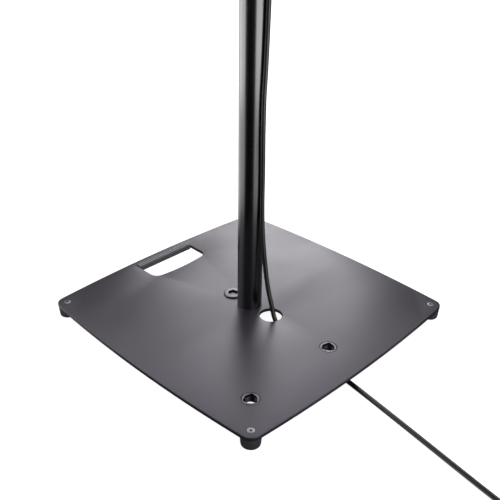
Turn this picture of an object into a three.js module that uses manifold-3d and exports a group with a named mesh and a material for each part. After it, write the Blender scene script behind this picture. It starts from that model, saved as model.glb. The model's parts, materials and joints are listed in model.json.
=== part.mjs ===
// A telescopic speaker stand: a flat square steel base, a centre pole and a speaker lead.
// Millimetres, +Z up. The origin is on the floor, under the middle of the pole.
// +X points to the side of the base with the cable hole, -X to the side with the handle.

import * as THREE from 'three';
import { mergeVertices } from 'three/addons/utils/BufferGeometryUtils.js';
import Module from 'manifold-3d';

const wasm = await Module();
wasm.setup();

const degrees = THREE.MathUtils.degToRad;

// ---- Driving dimensions -------------------------------------------------------------

// Clearances
const fitGap = 0.3; // between a part and the hole or tube that it sits in, each side
const seatGap = 0.05; // between two flat faces that rest on each other
const turnGap = 0.4; // between a part that turns or swings and what holds it

// Base plate
const plateSpan = 450; // across the middle of two opposite sides
const sideBow = 9.6; // how far each side bows out between its corners
const plateThickness = 5.5;
const cornerRadius = 16;
const edgeBevel = 0.6;

// Feet under the corners
const footInset = 23.3; // from the widest line of the plate to the foot's centre
const footHeight = 16.5;
const footTopRadius = 14;
const footBottomRadius = 12.4;
const footEdge = 2.4;
const footPocketDepth = 6.2;
const footPocketGap = 0.7; // round the washer
const footBand = 4; // straight band at the foot's top

// Foot screws, washers and nuts
const screwRadius = 2.5;
const screwHeadRadius = 5;
const screwHeadDepth = 2.6;
const screwKeyWidth = 3;
const screwKeyDepth = 1.8;
const washerRadius = 5.8;
const washerThickness = 1;
const nutWidth = 8;
const nutHeight = 4;
const screwEndHeight = 0.9; // above the floor

// Threaded sockets in the plate
const socketBoreRadius = 8.65;
const socketBodyRadius = 11;
const socketFlangeRadius = 12.6;
const socketFlangeThickness = 2.1;
const socketLength = 13.5;
const socketMouthBevel = 0.5;
const notchRadius = 3.4; // three driver notches round the bore's mouth
const notchOffset = 6.9;
const notchDepth = 3.5;
const notchCount = 3;
const notchFirstAngle = 5; // degrees from +X
const socketInset = 65; // from the widest line of the plate to the two free sockets

// Blanking plug in the spare socket beside the pole
const spareSocketX = -37;
const plugHeadRadius = 14.75;
const plugTopRadius = 13.4;
const plugHeadHeight = 2.3;
const plugKeyWidth = 14;
const plugKeyDepth = 3.2;
const plugKeyTurn = 14; // degrees, as it came to rest when screwed in
const plugShankLength = 9;

// Cable hole
const cableHoleX = 46;
const cableHoleRadius = 17.5;

// Handle slot near the -X side, and its grip
const slotInset = 19.7; // from the widest line of the plate to the slot
const slotWidth = 47;
const slotBow = 4.7;
const slotHalfLength = 56;
const slotInnerCorner = 14;
const slotOuterCorner = 3;
const gripWall = 2.1;
const gripFlange = 1.3;
const gripTopWidth = 12;
const gripBottomWidth = 11;
const ribPitch = 4.5;
const ribWidth = 2.3;
const ribHeight = 1;
const ribEdge = 1; // from a rib's end to the grip's edge
const ribEndMargin = 3;

// Pole
const lowerTubeRadius = 19;
const lowerTubeWall = 1.2;
const lowerTubeLength = 900;
const studRadius = 8.35;
const studLength = 10.5;
const footPlugLength = 30;
const upperTubeRadius = 17.5; // the standard 35 mm pole of a speaker cabinet
const upperTubeWall = 1.5;
const upperTubeLength = 850;
const upperTubeShows = 178; // above the end of the lower tube, when pushed right in
const glideHeadHeight = 6;
const plugShank = 24; // glide and end cap inside the upper tube
const capHeight = 4;
const capEdge = 1.2;

// Clamp collar on the upper end of the lower tube
const collarRadius = 27;
const collarHeight = 80;
const collarBelow = 40; // the part of it below the end of the lower tube
const collarTaper = 3;
const bossRadius = 11;
const bossReach = 40; // from the pole's axis
const bossRise = 20; // above the end of the lower tube
const bushFlangeRadius = 23;
const bushFlangeHeight = 3;
const setScrewRadius = 3;
const setScrewDrop = 22; // below the end of the lower tube
const setScrewAngles = [50, 130]; // degrees from +X

// Clamp screw and knob
const clampScrewRadius = 5;
const padLength = 8;
const knobGap = 4; // between the boss and the knob
const knobDepth = 22;
const knobRadius = 23;
const knobLobe = 3;
const knobLobes = 6;
const knobBevel = 2.5;
const knobSkin = 4; // closed end of the knob over the screw

// Locking pin and its pull ring
const pinRadius = 4;
const pinTip = 25;
const pinHeadX = 27;
const pinHeadRadius = 8;
const pinHeadThickness = 4;
const pinTabLength = 12;
const pinTabHalfHeight = 6;
const pinTabHalfThickness = 2.4;
const pinHolePitch = 60;
const pinHoleCount = 9;
const ringRadius = 13;
const ringWire = 1.5;

// Speaker lead
const cableRadius = 3.5;
const leadSide = degrees(12); // the side of the pole where its straps hold it, from +X
const floorLift = 0.15; // between the lead and the floor
const cableSides = 8;
const cableSteps = 84;
const connectorRadius = 12.4;
const connectorShellLength = 34;
const connectorNutLength = 20;
const connectorNutRadius = 10.5;
const connectorBootRadius = 5.6;
const connectorNoseLength = 15;
const connectorNoseRadius = 11;
const connectorMouthRim = 3; // wall round the open end of the nose
const connectorMouthDepth = 10;
const connectorEntryDepth = 8; // how far the cable goes into the nut
const strapWidth = 16;
const strapThickness = 1.6;
const cableStrapHeight = 600;
const connectorDrop = 92; // from the clamp collar down to the lower end of the connector on the pole
const tieWidth = 14;
const tieThickness = 1.2;

// Coil of spare cable
const coilInnerRadius = 33.1;
const coilPitch = 7.5; // centre to centre of two turns
const coilTurns = 2.9; // in each of its two layers
const coilReversalDip = 1.6;
const coilStepsPerTurn = 24;
const coilSides = 6;
const coilTailSteps = 6;
const coilTieAngle = 310; // degrees round the coil's axis
const coilEntry = [516, -76.3]; // where the lead meets the coil
const coilHeading = degrees(-10); // its direction there, from +X
const coilTailLength = 42; // free length after the last turn, bent away from the coil
const coilTailBend = 70;
const tieInnerGap = 4; // between the tie and the innermost turn, which curves inside it
const tieOuterGap = 3;

// ---- Heights and places that follow from them ---------------------------------------

const plateBottom = footHeight;
const plateTop = plateBottom + plateThickness;
const footPlace = plateSpan / 2 - footInset;
const freeSocketPlace = plateSpan / 2 - socketInset;
const slotOuterX = plateSpan / 2 - slotInset;
const slotInnerX = slotOuterX - slotWidth;
const tubeBase = plateTop + seatGap;
const tubeEnd = tubeBase + lowerTubeLength;
const lowerTubeBore = lowerTubeRadius - lowerTubeWall;
const upperTubeBore = upperTubeRadius - upperTubeWall;
const upperTubeTop = tubeEnd + upperTubeShows;
const upperTubeBottom = upperTubeTop - upperTubeLength;
const collarBottom = tubeEnd - collarBelow;
const connectorHeight = collarBottom - connectorDrop;
const collarTop = collarBottom + collarHeight;
const collarBore = lowerTubeRadius + fitGap;
const bossHeight = tubeEnd + bossRise;
const bushTop = collarTop + seatGap + bushFlangeHeight;
const pinHeight = bushTop + fitGap + pinRadius;
const tieLift = tieThickness + 2 * fitGap;
const connectorStrapHeight = connectorHeight + connectorNutLength + connectorShellLength / 2;
const coilOuterRadius = coilInnerRadius + coilPitch * coilTurns;

// ---- Geometry helpers -----------------------------------------------------------------

// Merges shared points, drops slivers without area and turns the faces outwards.
function closed(geometry) {
  const bare = geometry.clone();
  for (const name of Object.keys(bare.attributes)) {
    if (name !== 'position') bare.deleteAttribute(name);
  }
  bare.clearGroups();
  const merged = mergeVertices(bare, 1e-4);
  const position = merged.attributes.position;
  const triangles = [];
  let volume = 0;
  const [a, b, c] = [new THREE.Vector3(), new THREE.Vector3(), new THREE.Vector3()];
  for (let i = 0; i < merged.index.count; i += 3) {
    const [p, q, r] = [0, 1, 2].map((k) => merged.index.getX(i + k));
    if (p === q || q === r || r === p) continue;
    triangles.push([p, q, r]);
    a.fromBufferAttribute(position, p);
    b.fromBufferAttribute(position, q);
    c.fromBufferAttribute(position, r);
    volume += a.dot(b.cross(c));
  }
  merged.setIndex(triangles.flatMap(([p, q, r]) => (volume < 0 ? [p, r, q] : [p, q, r])));
  return merged;
}

function toManifold(geometry) {
  const tidy = closed(geometry);
  return new wasm.Manifold(new wasm.Mesh({
    numProp: 3,
    vertProperties: new Float32Array(tidy.attributes.position.array),
    triVerts: new Uint32Array(tidy.index.array),
  }));
}

function fromManifold(manifold) {
  const mesh = manifold.getMesh();
  const geometry = new THREE.BufferGeometry();
  geometry.setAttribute('position', new THREE.BufferAttribute(mesh.vertProperties, 3));
  geometry.setIndex(new THREE.BufferAttribute(mesh.triVerts, 1));
  return geometry;
}

function cut(geometry, cutters) {
  const pieces = cutters.map(toManifold);
  return fromManifold(pieces.reduce((body, cutter) => body.subtract(cutter), toManifold(geometry)));
}

function join(geometries) {
  const [first, ...rest] = geometries.map(toManifold);
  return fromManifold(rest.reduce((body, piece) => body.add(piece), first));
}

// A body turned about +Z from [radius, height] points.
function turned(profile, segments = 24) {
  const points = profile.map(([radius, height]) => new THREE.Vector2(radius, height));
  return closed(new THREE.LatheGeometry(points, segments).rotateX(Math.PI / 2));
}

// A tube or washer about +Z, with its two outer edges bevelled.
function sleeve(inner, outer, low, high, bevel = 0, segments = 36) {
  const profile = [[inner, low], [outer - bevel, low]];
  if (bevel) profile.push([outer, low + bevel], [outer, high - bevel]);
  profile.push([outer - bevel, high], [inner, high], [inner, low]);
  return turned(profile, segments);
}

// A solid round bar about +Z, with its two edges bevelled.
function bar(radius, low, high, bevel = 0, segments = 20) {
  const profile = [[0, low], [radius - bevel, low]];
  if (bevel) profile.push([radius, low + bevel], [radius, high - bevel]);
  profile.push([radius - bevel, high], [0, high]);
  return turned(profile, segments);
}

function arc(centreX, centreY, radius, from, to, steps) {
  return Array.from({ length: steps + 1 }, (_, i) => {
    const angle = from + ((to - from) * i) / steps;
    return new THREE.Vector2(centreX + radius * Math.cos(angle), centreY + radius * Math.sin(angle));
  });
}

// A flat outline raised from low to high, with bevelled edges that stay inside the outline.
function raised(shape, low, high, bevel = 0, bevelSegments = 1) {
  const geometry = new THREE.ExtrudeGeometry(shape, {
    depth: high - low - 2 * bevel,
    bevelEnabled: bevel > 0,
    bevelThickness: bevel,
    bevelSize: bevel,
    bevelOffset: -bevel,
    bevelSegments,
    curveSegments: 16,
  });
  return closed(geometry.translate(0, 0, low + bevel));
}

// A hexagon of that width across its flats.
function hexagon(width) {
  const corner = width / Math.sqrt(3);
  return new THREE.Shape(arc(0, 0, corner, 0, (Math.PI * 5) / 3, 5));
}

function block(lowX, highX, lowY, highY, lowZ, highZ) {
  const box = new THREE.BoxGeometry(highX - lowX, highY - lowY, highZ - lowZ);
  return box.translate((lowX + highX) / 2, (lowY + highY) / 2, (lowZ + highZ) / 2);
}

// Turns a body about +Z so that its axis points along -Y or +X.
const alongMinusY = (geometry) => geometry.rotateX(Math.PI / 2);
const alongX = (geometry) => geometry.rotateY(Math.PI / 2);

// ---- Finishes -------------------------------------------------------------------------

const finishes = {
  powderCoat: { color: 0x3a393d, roughness: 0.42, metalness: 0.1 },
  tubeCoat: { color: 0x141415, roughness: 0.3, metalness: 0.1 },
  socketSteel: { color: 0x5d5c62, roughness: 0.35, metalness: 0.9 },
  plugMetal: { color: 0xa3a1a8, roughness: 0.4, metalness: 0.9 },
  zincSteel: { color: 0xb9b9bd, roughness: 0.3, metalness: 1 },
  rubber: { color: 0x1d1d1e, roughness: 0.8, metalness: 0 },
  gripPlastic: { color: 0x37373a, roughness: 0.6, metalness: 0 },
  blackPlastic: { color: 0x171718, roughness: 0.5, metalness: 0 },
  cableJacket: { color: 0x111112, roughness: 0.45, metalness: 0 },
  connectorInsert: { color: 0x3c5f8f, roughness: 0.5, metalness: 0 },
  strapFabric: { color: 0x101011, roughness: 0.95, metalness: 0 },
};

const stand = new THREE.Group();

function add(name, finish, geometry, x = 0, y = 0, z = 0) {
  const mesh = new THREE.Mesh(closed(geometry), new THREE.MeshStandardMaterial(finishes[finish]));
  mesh.name = name;
  mesh.position.set(x, y, z);
  stand.add(mesh);
  return mesh;
}

// ---- Base plate -------------------------------------------------------------------------

// Four sides, each an arc of a large circle, joined by round corners that touch both arcs.
function plateOutline() {
  const half = plateSpan / 2 - sideBow;
  const sideRadius = (half ** 2 + sideBow ** 2) / (2 * sideBow);
  const sideCentre = plateSpan / 2 - sideRadius;
  const reach = sideRadius - cornerRadius;
  const corner = (sideCentre + Math.sqrt(2 * reach ** 2 - sideCentre ** 2)) / 2;
  const swing = Math.atan2(corner, corner - sideCentre);
  const quarter = [
    ...arc(sideCentre, 0, sideRadius, -swing, swing, 14).slice(0, -1),
    ...arc(corner, corner, cornerRadius, swing, Math.PI / 2 - swing, 5).slice(0, -1),
  ];
  const origin = new THREE.Vector2();
  return [0, 1, 2, 3].flatMap((turn) =>
    quarter.map((point) => point.clone().rotateAround(origin, (turn * Math.PI) / 2)));
}

// The slot's inner edge is an arc, its ends are straight and its corners are round.
function slotOutline() {
  const edgeRadius = (slotHalfLength ** 2 + slotBow ** 2) / (2 * slotBow);
  const edgeCentre = -slotInnerX - edgeRadius;
  const reach = edgeRadius - slotInnerCorner;
  const innerY = slotHalfLength - slotInnerCorner;
  const swing = Math.asin(innerY / reach);
  const innerX = edgeCentre + reach * Math.cos(swing);
  const outerX = -slotOuterX + slotOuterCorner;
  const outerY = slotHalfLength - slotOuterCorner;
  const quarter = Math.PI / 2;
  return [
    ...arc(edgeCentre, 0, edgeRadius, -swing, swing, 8).slice(0, -1),
    ...arc(innerX, innerY, slotInnerCorner, swing, quarter, 5),
    ...arc(outerX, outerY, slotOuterCorner, quarter, 2 * quarter, 2),
    ...arc(outerX, -outerY, slotOuterCorner, 2 * quarter, 3 * quarter, 2),
    ...arc(innerX, -innerY, slotInnerCorner, 3 * quarter, 4 * quarter - swing, 5).slice(0, -1),
  ];
}

const socketPlaces = {
  socket_centre: [0, 0],
  socket_spare: [spareSocketX, 0],
  socket_side: [freeSocketPlace, 0],
  socket_corner: [freeSocketPlace, -freeSocketPlace],
};

const cornerPlaces = {
  front: [footPlace, -footPlace],
  right: [footPlace, footPlace],
  back: [-footPlace, footPlace],
  left: [-footPlace, -footPlace],
};

// The stepped hole that a socket is pressed into.
function socketSeat([x, y]) {
  const step = plateTop - socketFlangeThickness - seatGap;
  return turned([
    [0, plateBottom - 1],
    [socketBodyRadius + fitGap, plateBottom - 1],
    [socketBodyRadius + fitGap, step],
    [socketFlangeRadius + fitGap, step],
    [socketFlangeRadius + fitGap, plateTop + 1],
    [0, plateTop + 1],
  ], 24).translate(x, y, 0);
}

// The countersunk hole of a foot screw.
function screwSeat([x, y]) {
  return turned([
    [0, plateBottom - 1],
    [screwRadius + fitGap, plateBottom - 1],
    [screwRadius + fitGap, plateTop - screwHeadDepth - fitGap],
    [screwHeadRadius + fitGap, plateTop],
    [screwHeadRadius + fitGap, plateTop + 1],
    [0, plateTop + 1],
  ], 12).translate(x, y, 0);
}

function addBasePlate() {
  const shape = new THREE.Shape(plateOutline());
  shape.holes.push(new THREE.Path(slotOutline()));
  shape.holes.push(new THREE.Path(arc(cableHoleX, 0, cableHoleRadius, 0, 2 * Math.PI, 36).slice(0, -1)));
  const sheet = raised(shape, plateBottom, plateTop, edgeBevel);
  const holes = [
    ...Object.values(socketPlaces).map(socketSeat),
    ...Object.values(cornerPlaces).map(screwSeat),
  ];
  add('base_plate', 'powderCoat', cut(sheet, holes));
}

// ---- Sockets and blanking plug ------------------------------------------------------

function addSocket(name, [x, y]) {
  const body = turned([
    [socketBoreRadius, -socketLength],
    [socketBodyRadius - socketMouthBevel, -socketLength],
    [socketBodyRadius, -socketLength + socketMouthBevel],
    [socketBodyRadius, -socketFlangeThickness],
    [socketFlangeRadius, -socketFlangeThickness],
    [socketFlangeRadius, -socketMouthBevel],
    [socketFlangeRadius - socketMouthBevel, 0],
    [socketBoreRadius + socketMouthBevel, 0],
    [socketBoreRadius, -socketMouthBevel],
    [socketBoreRadius, -socketLength],
  ], 24);
  const notches = Array.from({ length: notchCount }, (_, i) => {
    const angle = degrees(notchFirstAngle + (i * 360) / notchCount);
    const notch = bar(notchRadius, -notchDepth, 1, 0, 10);
    return notch.translate(notchOffset * Math.cos(angle), notchOffset * Math.sin(angle), 0);
  });
  add(name, 'socketSteel', cut(body, notches), x, y, plateTop);
}

function addBlankingPlug() {
  const shank = studRadius;
  const body = turned([
    [0, -plugShankLength],
    [shank - 1, -plugShankLength],
    [shank, 1 - plugShankLength],
    [shank, seatGap],
    [plugHeadRadius, seatGap],
    [plugHeadRadius, plugHeadHeight - (plugHeadRadius - plugTopRadius)],
    [plugTopRadius, plugHeadHeight],
    [0, plugHeadHeight],
  ], 36);
  const key = raised(hexagon(plugKeyWidth), plugHeadHeight - plugKeyDepth, plugHeadHeight + 1)
    .rotateZ(degrees(plugKeyTurn));
  add('blanking_plug', 'plugMetal', cut(body, [key]), spareSocketX, 0, plateTop);
}

// ---- Handle grip ----------------------------------------------------------------------

// A channel clipped over the strip of plate between the slot and the edge, ribbed on top.
function addHandleGrip() {
  const halfLength = slotHalfLength - fitGap;
  const wallInner = -slotOuterX + fitGap + gripWall;
  const wallOuter = -slotOuterX + fitGap;
  const low = plateBottom - fitGap - gripFlange;
  const high = plateTop + seatGap + gripFlange;
  const wallLength = halfLength - slotOuterCorner;
  const pieces = [
    block(wallOuter, wallInner, -wallLength, wallLength, low, high),
    block(wallInner - gripTopWidth, wallInner, -halfLength, halfLength, plateTop + seatGap, high),
    block(wallInner - gripBottomWidth, wallInner, -wallLength, wallLength, low, low + gripFlange),
  ];
  const ribLength = halfLength - ribEndMargin;
  const ribCount = Math.floor((2 * ribLength) / ribPitch) + 1;
  const [ribOuter, ribInner] = [wallInner - gripTopWidth + ribEdge, wallInner - ribEdge];
  for (let i = 0; i < ribCount; i += 1) {
    const y = (i - (ribCount - 1) / 2) * ribPitch;
    const [ribLow, ribHigh] = [high - gripFlange / 2, high + ribHeight];
    pieces.push(block(ribOuter, ribInner, y - ribWidth / 2, y + ribWidth / 2, ribLow, ribHigh));
  }
  add('handle_grip', 'gripPlastic', join(pieces));
}

// ---- Feet and their fasteners -------------------------------------------------------

function addFoot(corner, [x, y]) {
  const pocketRadius = washerRadius + footPocketGap;
  const holeRadius = screwRadius + fitGap;
  const round = arc(footBottomRadius - footEdge, footEdge, footEdge, -Math.PI / 2, -0.1, 3);
  const foot = turned([
    [pocketRadius, 0],
    ...round.map((point) => [point.x, point.y]),
    [footTopRadius, footHeight - footBand],
    [footTopRadius, footHeight - seatGap],
    [holeRadius, footHeight - seatGap],
    [holeRadius, footPocketDepth],
    [pocketRadius, footPocketDepth],
    [pocketRadius, 0],
  ]);
  add(`foot_${corner}`, 'rubber', foot, x, y);

  const headFoot = plateTop - screwHeadDepth - seatGap;
  const screw = turned([
    [0, screwEndHeight],
    [screwRadius - 0.5, screwEndHeight],
    [screwRadius, screwEndHeight + 0.5],
    [screwRadius, headFoot],
    [screwHeadRadius, plateTop - seatGap],
    [0, plateTop - seatGap],
  ], 16);
  const key = raised(hexagon(screwKeyWidth), plateTop - screwKeyDepth, plateTop + 1);
  add(`foot_screw_${corner}`, 'zincSteel', cut(screw, [key]), x, y);

  const washerTop = footPocketDepth - seatGap;
  const washerBottom = washerTop - washerThickness;
  const washer = sleeve(screwRadius + fitGap, washerRadius, washerBottom, washerTop, 0, 18);
  add(`foot_washer_${corner}`, 'zincSteel', washer, x, y);

  const nutShape = hexagon(nutWidth);
  nutShape.holes.push(new THREE.Path(arc(0, 0, screwRadius + fitGap, 0, 2 * Math.PI, 12).slice(0, -1)));
  const nut = raised(nutShape, washerBottom - seatGap - nutHeight, washerBottom - seatGap);
  add(`foot_nut_${corner}`, 'zincSteel', nut, x, y);
}

// ---- Pole -----------------------------------------------------------------------------

function addLowerTube() {
  add('lower_tube', 'tubeCoat', sleeve(lowerTubeBore, lowerTubeRadius, tubeBase, tubeEnd, 0, 48));
}

// Pressed into the tube's lower end, with the stud that screws into the centre socket.
function addFootPlug() {
  const plug = turned([
    [0, plateTop - studLength],
    [studRadius - 1, plateTop - studLength],
    [studRadius, plateTop - studLength + 1],
    [studRadius, tubeBase],
    [lowerTubeBore - fitGap, tubeBase],
    [lowerTubeBore - fitGap, tubeBase + footPlugLength],
    [0, tubeBase + footPlugLength],
  ]);
  add('pole_foot_plug', 'zincSteel', plug);
}

function addUpperTube() {
  const tube = sleeve(upperTubeBore, upperTubeRadius, upperTubeBottom, upperTubeTop, 0, 48);
  const holes = Array.from({ length: pinHoleCount }, (_, i) => {
    const hole = bar(pinRadius + fitGap, -upperTubeRadius - 1, upperTubeRadius + 1, 0, 10);
    return alongX(hole).translate(0, 0, pinHeight - i * pinHolePitch);
  });
  add('upper_tube', 'tubeCoat', cut(tube, holes));
}

function addTubeEnds() {
  const shankRadius = upperTubeBore - fitGap;
  const glideRadius = lowerTubeBore - fitGap;
  const glide = turned([
    [0, upperTubeBottom - seatGap - glideHeadHeight],
    [glideRadius - 1, upperTubeBottom - seatGap - glideHeadHeight],
    [glideRadius, upperTubeBottom - seatGap - glideHeadHeight + 1],
    [glideRadius, upperTubeBottom - seatGap],
    [shankRadius, upperTubeBottom - seatGap],
    [shankRadius, upperTubeBottom + plugShank],
    [0, upperTubeBottom + plugShank],
  ]);
  add('upper_tube_glide', 'blackPlastic', glide);

  const capFoot = upperTubeTop + seatGap;
  const capTop = capFoot + capHeight;
  const round = arc(upperTubeRadius - capEdge, capTop - capEdge, capEdge, 0, Math.PI / 2, 3);
  const cap = turned([
    [0, upperTubeTop - plugShank],
    [shankRadius, upperTubeTop - plugShank],
    [shankRadius, capFoot],
    [upperTubeRadius, capFoot],
    ...round.map((point) => [point.x, point.y]),
    [0, capTop],
  ], 36);
  add('pole_end_cap', 'blackPlastic', cap);
}

// ---- Clamp collar -----------------------------------------------------------------------

// Its lower half grips the lower tube, its upper half holds the bush that guides the upper tube.
function addCollar() {
  const shell = turned([
    [0, collarBottom],
    [collarRadius - collarTaper, collarBottom],
    [collarRadius, collarBottom + 2 * collarTaper],
    [collarRadius, collarTop - 2 * collarTaper],
    [collarRadius - collarTaper, collarTop],
    [0, collarTop],
  ], 40);
  const boss = alongMinusY(bar(bossRadius, 0, bossReach, 1)).translate(0, 0, bossHeight);
  const bore = bar(collarBore, collarBottom - 1, collarTop + 1, 0, 40);
  const screwHole = bar(clampScrewRadius + fitGap, 0, bossReach + 1, 0, 20);
  const setScrewHoles = setScrewAngles.map((angle) => {
    const hole = alongX(bar(setScrewRadius + fitGap, 0, collarRadius + 1, 0, 12));
    return hole.rotateZ(degrees(angle)).translate(0, 0, tubeEnd - setScrewDrop);
  });
  const holes = [bore, alongMinusY(screwHole).translate(0, 0, bossHeight), ...setScrewHoles];
  add('clamp_collar', 'blackPlastic', cut(join([shell, boss]), holes));
}

function addSetScrews() {
  setScrewAngles.forEach((angle, i) => {
    const screw = bar(setScrewRadius, collarBore, collarRadius - 0.6, 0.4, 12);
    const key = raised(hexagon(screwKeyWidth), collarRadius - 3, collarRadius);
    const mesh = add(`collar_set_screw_${i + 1}`, 'zincSteel', alongX(cut(screw, [key])));
    mesh.position.z = tubeEnd - setScrewDrop;
    mesh.rotation.z = degrees(angle);
  });
}

function addGuideBush() {
  const inner = upperTubeRadius + fitGap;
  const flangeFoot = collarTop + seatGap;
  const bush = turned([
    [inner, tubeEnd + seatGap],
    [lowerTubeRadius, tubeEnd + seatGap],
    [lowerTubeRadius, flangeFoot],
    [bushFlangeRadius, flangeFoot],
    [bushFlangeRadius, bushTop - 1],
    [bushFlangeRadius - 1, bushTop],
    [inner, bushTop],
    [inner, tubeEnd + seatGap],
  ], 40);
  const padHole = alongMinusY(bar(clampScrewRadius + fitGap, 0, collarRadius, 0, 16));
  add('guide_bush', 'blackPlastic', cut(bush, [padHole.translate(0, 0, bossHeight)]));
}

// Pad, screw and knob lie on one axis that points to -Y.
function addClamp() {
  const padStart = upperTubeRadius + fitGap;
  const screwStart = padStart + padLength + seatGap;
  const knobStart = bossReach + knobGap;
  const knobEnd = knobStart + knobDepth;
  const screwEnd = knobEnd - knobSkin - fitGap;
  const pad = bar(clampScrewRadius, padStart, padStart + padLength, 0.5, 16);
  add('pressure_pad', 'blackPlastic', alongMinusY(pad), 0, 0, bossHeight);
  const screw = bar(clampScrewRadius, screwStart, screwEnd, 0.5, 16);
  add('clamp_screw', 'zincSteel', alongMinusY(screw), 0, 0, bossHeight);

  const outline = Array.from({ length: 48 }, (_, i) => {
    const angle = (i * 2 * Math.PI) / 48;
    const radius = knobRadius + knobLobe * Math.cos(knobLobes * angle);
    return new THREE.Vector2(radius * Math.cos(angle), radius * Math.sin(angle));
  });
  const star = raised(new THREE.Shape(outline), knobStart, knobEnd, knobBevel, 2);
  const bore = bar(clampScrewRadius + fitGap, knobStart - 1, knobEnd - knobSkin, 0, 16);
  add('clamp_knob', 'blackPlastic', alongMinusY(cut(star, [bore])), 0, 0, bossHeight);
}

// ---- Locking pin --------------------------------------------------------------------------

// The pin lies along X and is drawn out to -X. Its head ends in a flat eye for the ring.
function addLockingPin() {
  const shaft = alongX(bar(pinRadius, -pinHeadX - 1, pinTip, 1, 16));
  const headOuter = -pinHeadX - pinHeadThickness;
  const head = alongX(bar(pinHeadRadius, headOuter, -pinHeadX, 0.6, 24));
  const eyeX = headOuter - pinTabLength + pinTabHalfHeight;
  const eyeRound = bar(pinTabHalfHeight, -pinTabHalfThickness, pinTabHalfThickness, 0.4, 20);
  const eye = alongMinusY(eyeRound).translate(eyeX, 0, 0);
  const neck = block(
    eyeX, headOuter + 1,
    -pinTabHalfThickness, pinTabHalfThickness,
    -pinTabHalfHeight / 2, pinTabHalfHeight / 2,
  );
  const eyeHole = bar(ringWire + turnGap, -pinTabHalfThickness - 1, pinTabHalfThickness + 1, 0, 14);
  const body = join([shaft, head, eye, neck]);
  add('locking_pin', 'zincSteel', cut(body, [alongMinusY(eyeHole).translate(eyeX, 0, 0)]), 0, 0, pinHeight);

  const ring = new THREE.TorusGeometry(ringRadius, ringWire, 8, 28).rotateY(Math.PI / 2);
  add('pin_pull_ring', 'zincSteel', ring, eyeX, 0, pinHeight - ringRadius);
}

// ---- Speaker lead -----------------------------------------------------------------------

// Three turned pieces on one axis, from the nut where the cable leaves (z = 0) to the nose.
function addConnector(prefix, place) {
  const nutStart = 0;
  const shellStart = nutStart + connectorNutLength + seatGap;
  const shellEnd = shellStart + connectorShellLength;
  const nut = turned([
    [0, connectorEntryDepth],
    [cableRadius + fitGap, connectorEntryDepth],
    [cableRadius + fitGap, nutStart],
    [connectorBootRadius, nutStart],
    [connectorBootRadius + 1, 1],
    [connectorBootRadius + 1.4, 6],
    [connectorNutRadius - 1, 9],
    [connectorNutRadius, 10],
    [connectorNutRadius, connectorNutLength],
    [0, connectorNutLength],
  ]);
  const shell = turned([
    [0, shellStart],
    [connectorRadius - 1.4, shellStart],
    [connectorRadius, shellStart + 1.4],
    [connectorRadius, shellEnd - 1],
    [connectorRadius - 1, shellEnd],
    [0, shellEnd],
  ]);
  const noseStart = shellEnd + seatGap;
  const noseEnd = noseStart + connectorNoseLength;
  const nose = turned([
    [0, noseStart],
    [connectorNoseRadius, noseStart],
    [connectorNoseRadius, noseEnd - 1],
    [connectorNoseRadius - 1, noseEnd],
    [connectorNoseRadius - connectorMouthRim, noseEnd],
    [connectorNoseRadius - connectorMouthRim, noseEnd - connectorMouthDepth],
    [0, noseEnd - connectorMouthDepth],
  ]);
  for (const [name, finish, geometry] of [
    ['nut', 'blackPlastic', nut],
    ['shell', 'blackPlastic', shell],
    ['nose', 'connectorInsert', nose],
  ]) {
    place(add(`${prefix}_${name}`, finish, geometry));
  }
}

// The outline of a band pulled tight round two discs on one line.
function bandOutline(radiusA, radiusB, distance) {
  const lean = Math.acos((radiusA - radiusB) / distance);
  return [
    ...arc(0, 0, radiusA, lean, 2 * Math.PI - lean, 20),
    ...arc(distance, 0, radiusB, -lean, lean, 8),
  ];
}

// A strap that holds a round piece of that radius against the lower tube.
function addStrap(name, heldRadius, [heldX, heldY], middle) {
  const distance = Math.hypot(heldX, heldY);
  const grow = fitGap + strapThickness;
  const shape = new THREE.Shape(bandOutline(lowerTubeRadius + grow, heldRadius + grow, distance));
  const hole = bandOutline(lowerTubeRadius + fitGap, heldRadius + fitGap, distance);
  shape.holes.push(new THREE.Path(hole));
  const band = raised(shape, middle - strapWidth / 2, middle + strapWidth / 2);
  const mesh = add(name, 'strapFabric', band);
  mesh.rotation.z = Math.atan2(heldY, heldX);
}

// A place beside the pole, that far from its axis, on the side that the lead runs down.
const besidePole = (distance) => [distance * Math.cos(leadSide), distance * Math.sin(leadSide)];

const hangPlace = besidePole(lowerTubeRadius + fitGap + connectorRadius);
const leadPlace = besidePole(lowerTubeRadius + fitGap + cableRadius);
const floorHeight = cableRadius + floorLift;
const coilFloor = cableRadius + tieLift;

// A point at that height and angle from +X, in degrees, where the lead lies against the pole.
function againstPole(angle, height) {
  const distance = lowerTubeRadius + fitGap + cableRadius;
  return [distance * Math.cos(degrees(angle)), distance * Math.sin(degrees(angle)), height];
}

// A point that far along the straight line on which the lead runs into the coil.
function coilApproach(distance) {
  const [x, y] = coilEntry;
  return [x + distance * Math.cos(coilHeading), y + distance * Math.sin(coilHeading), coilFloor];
}

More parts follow.
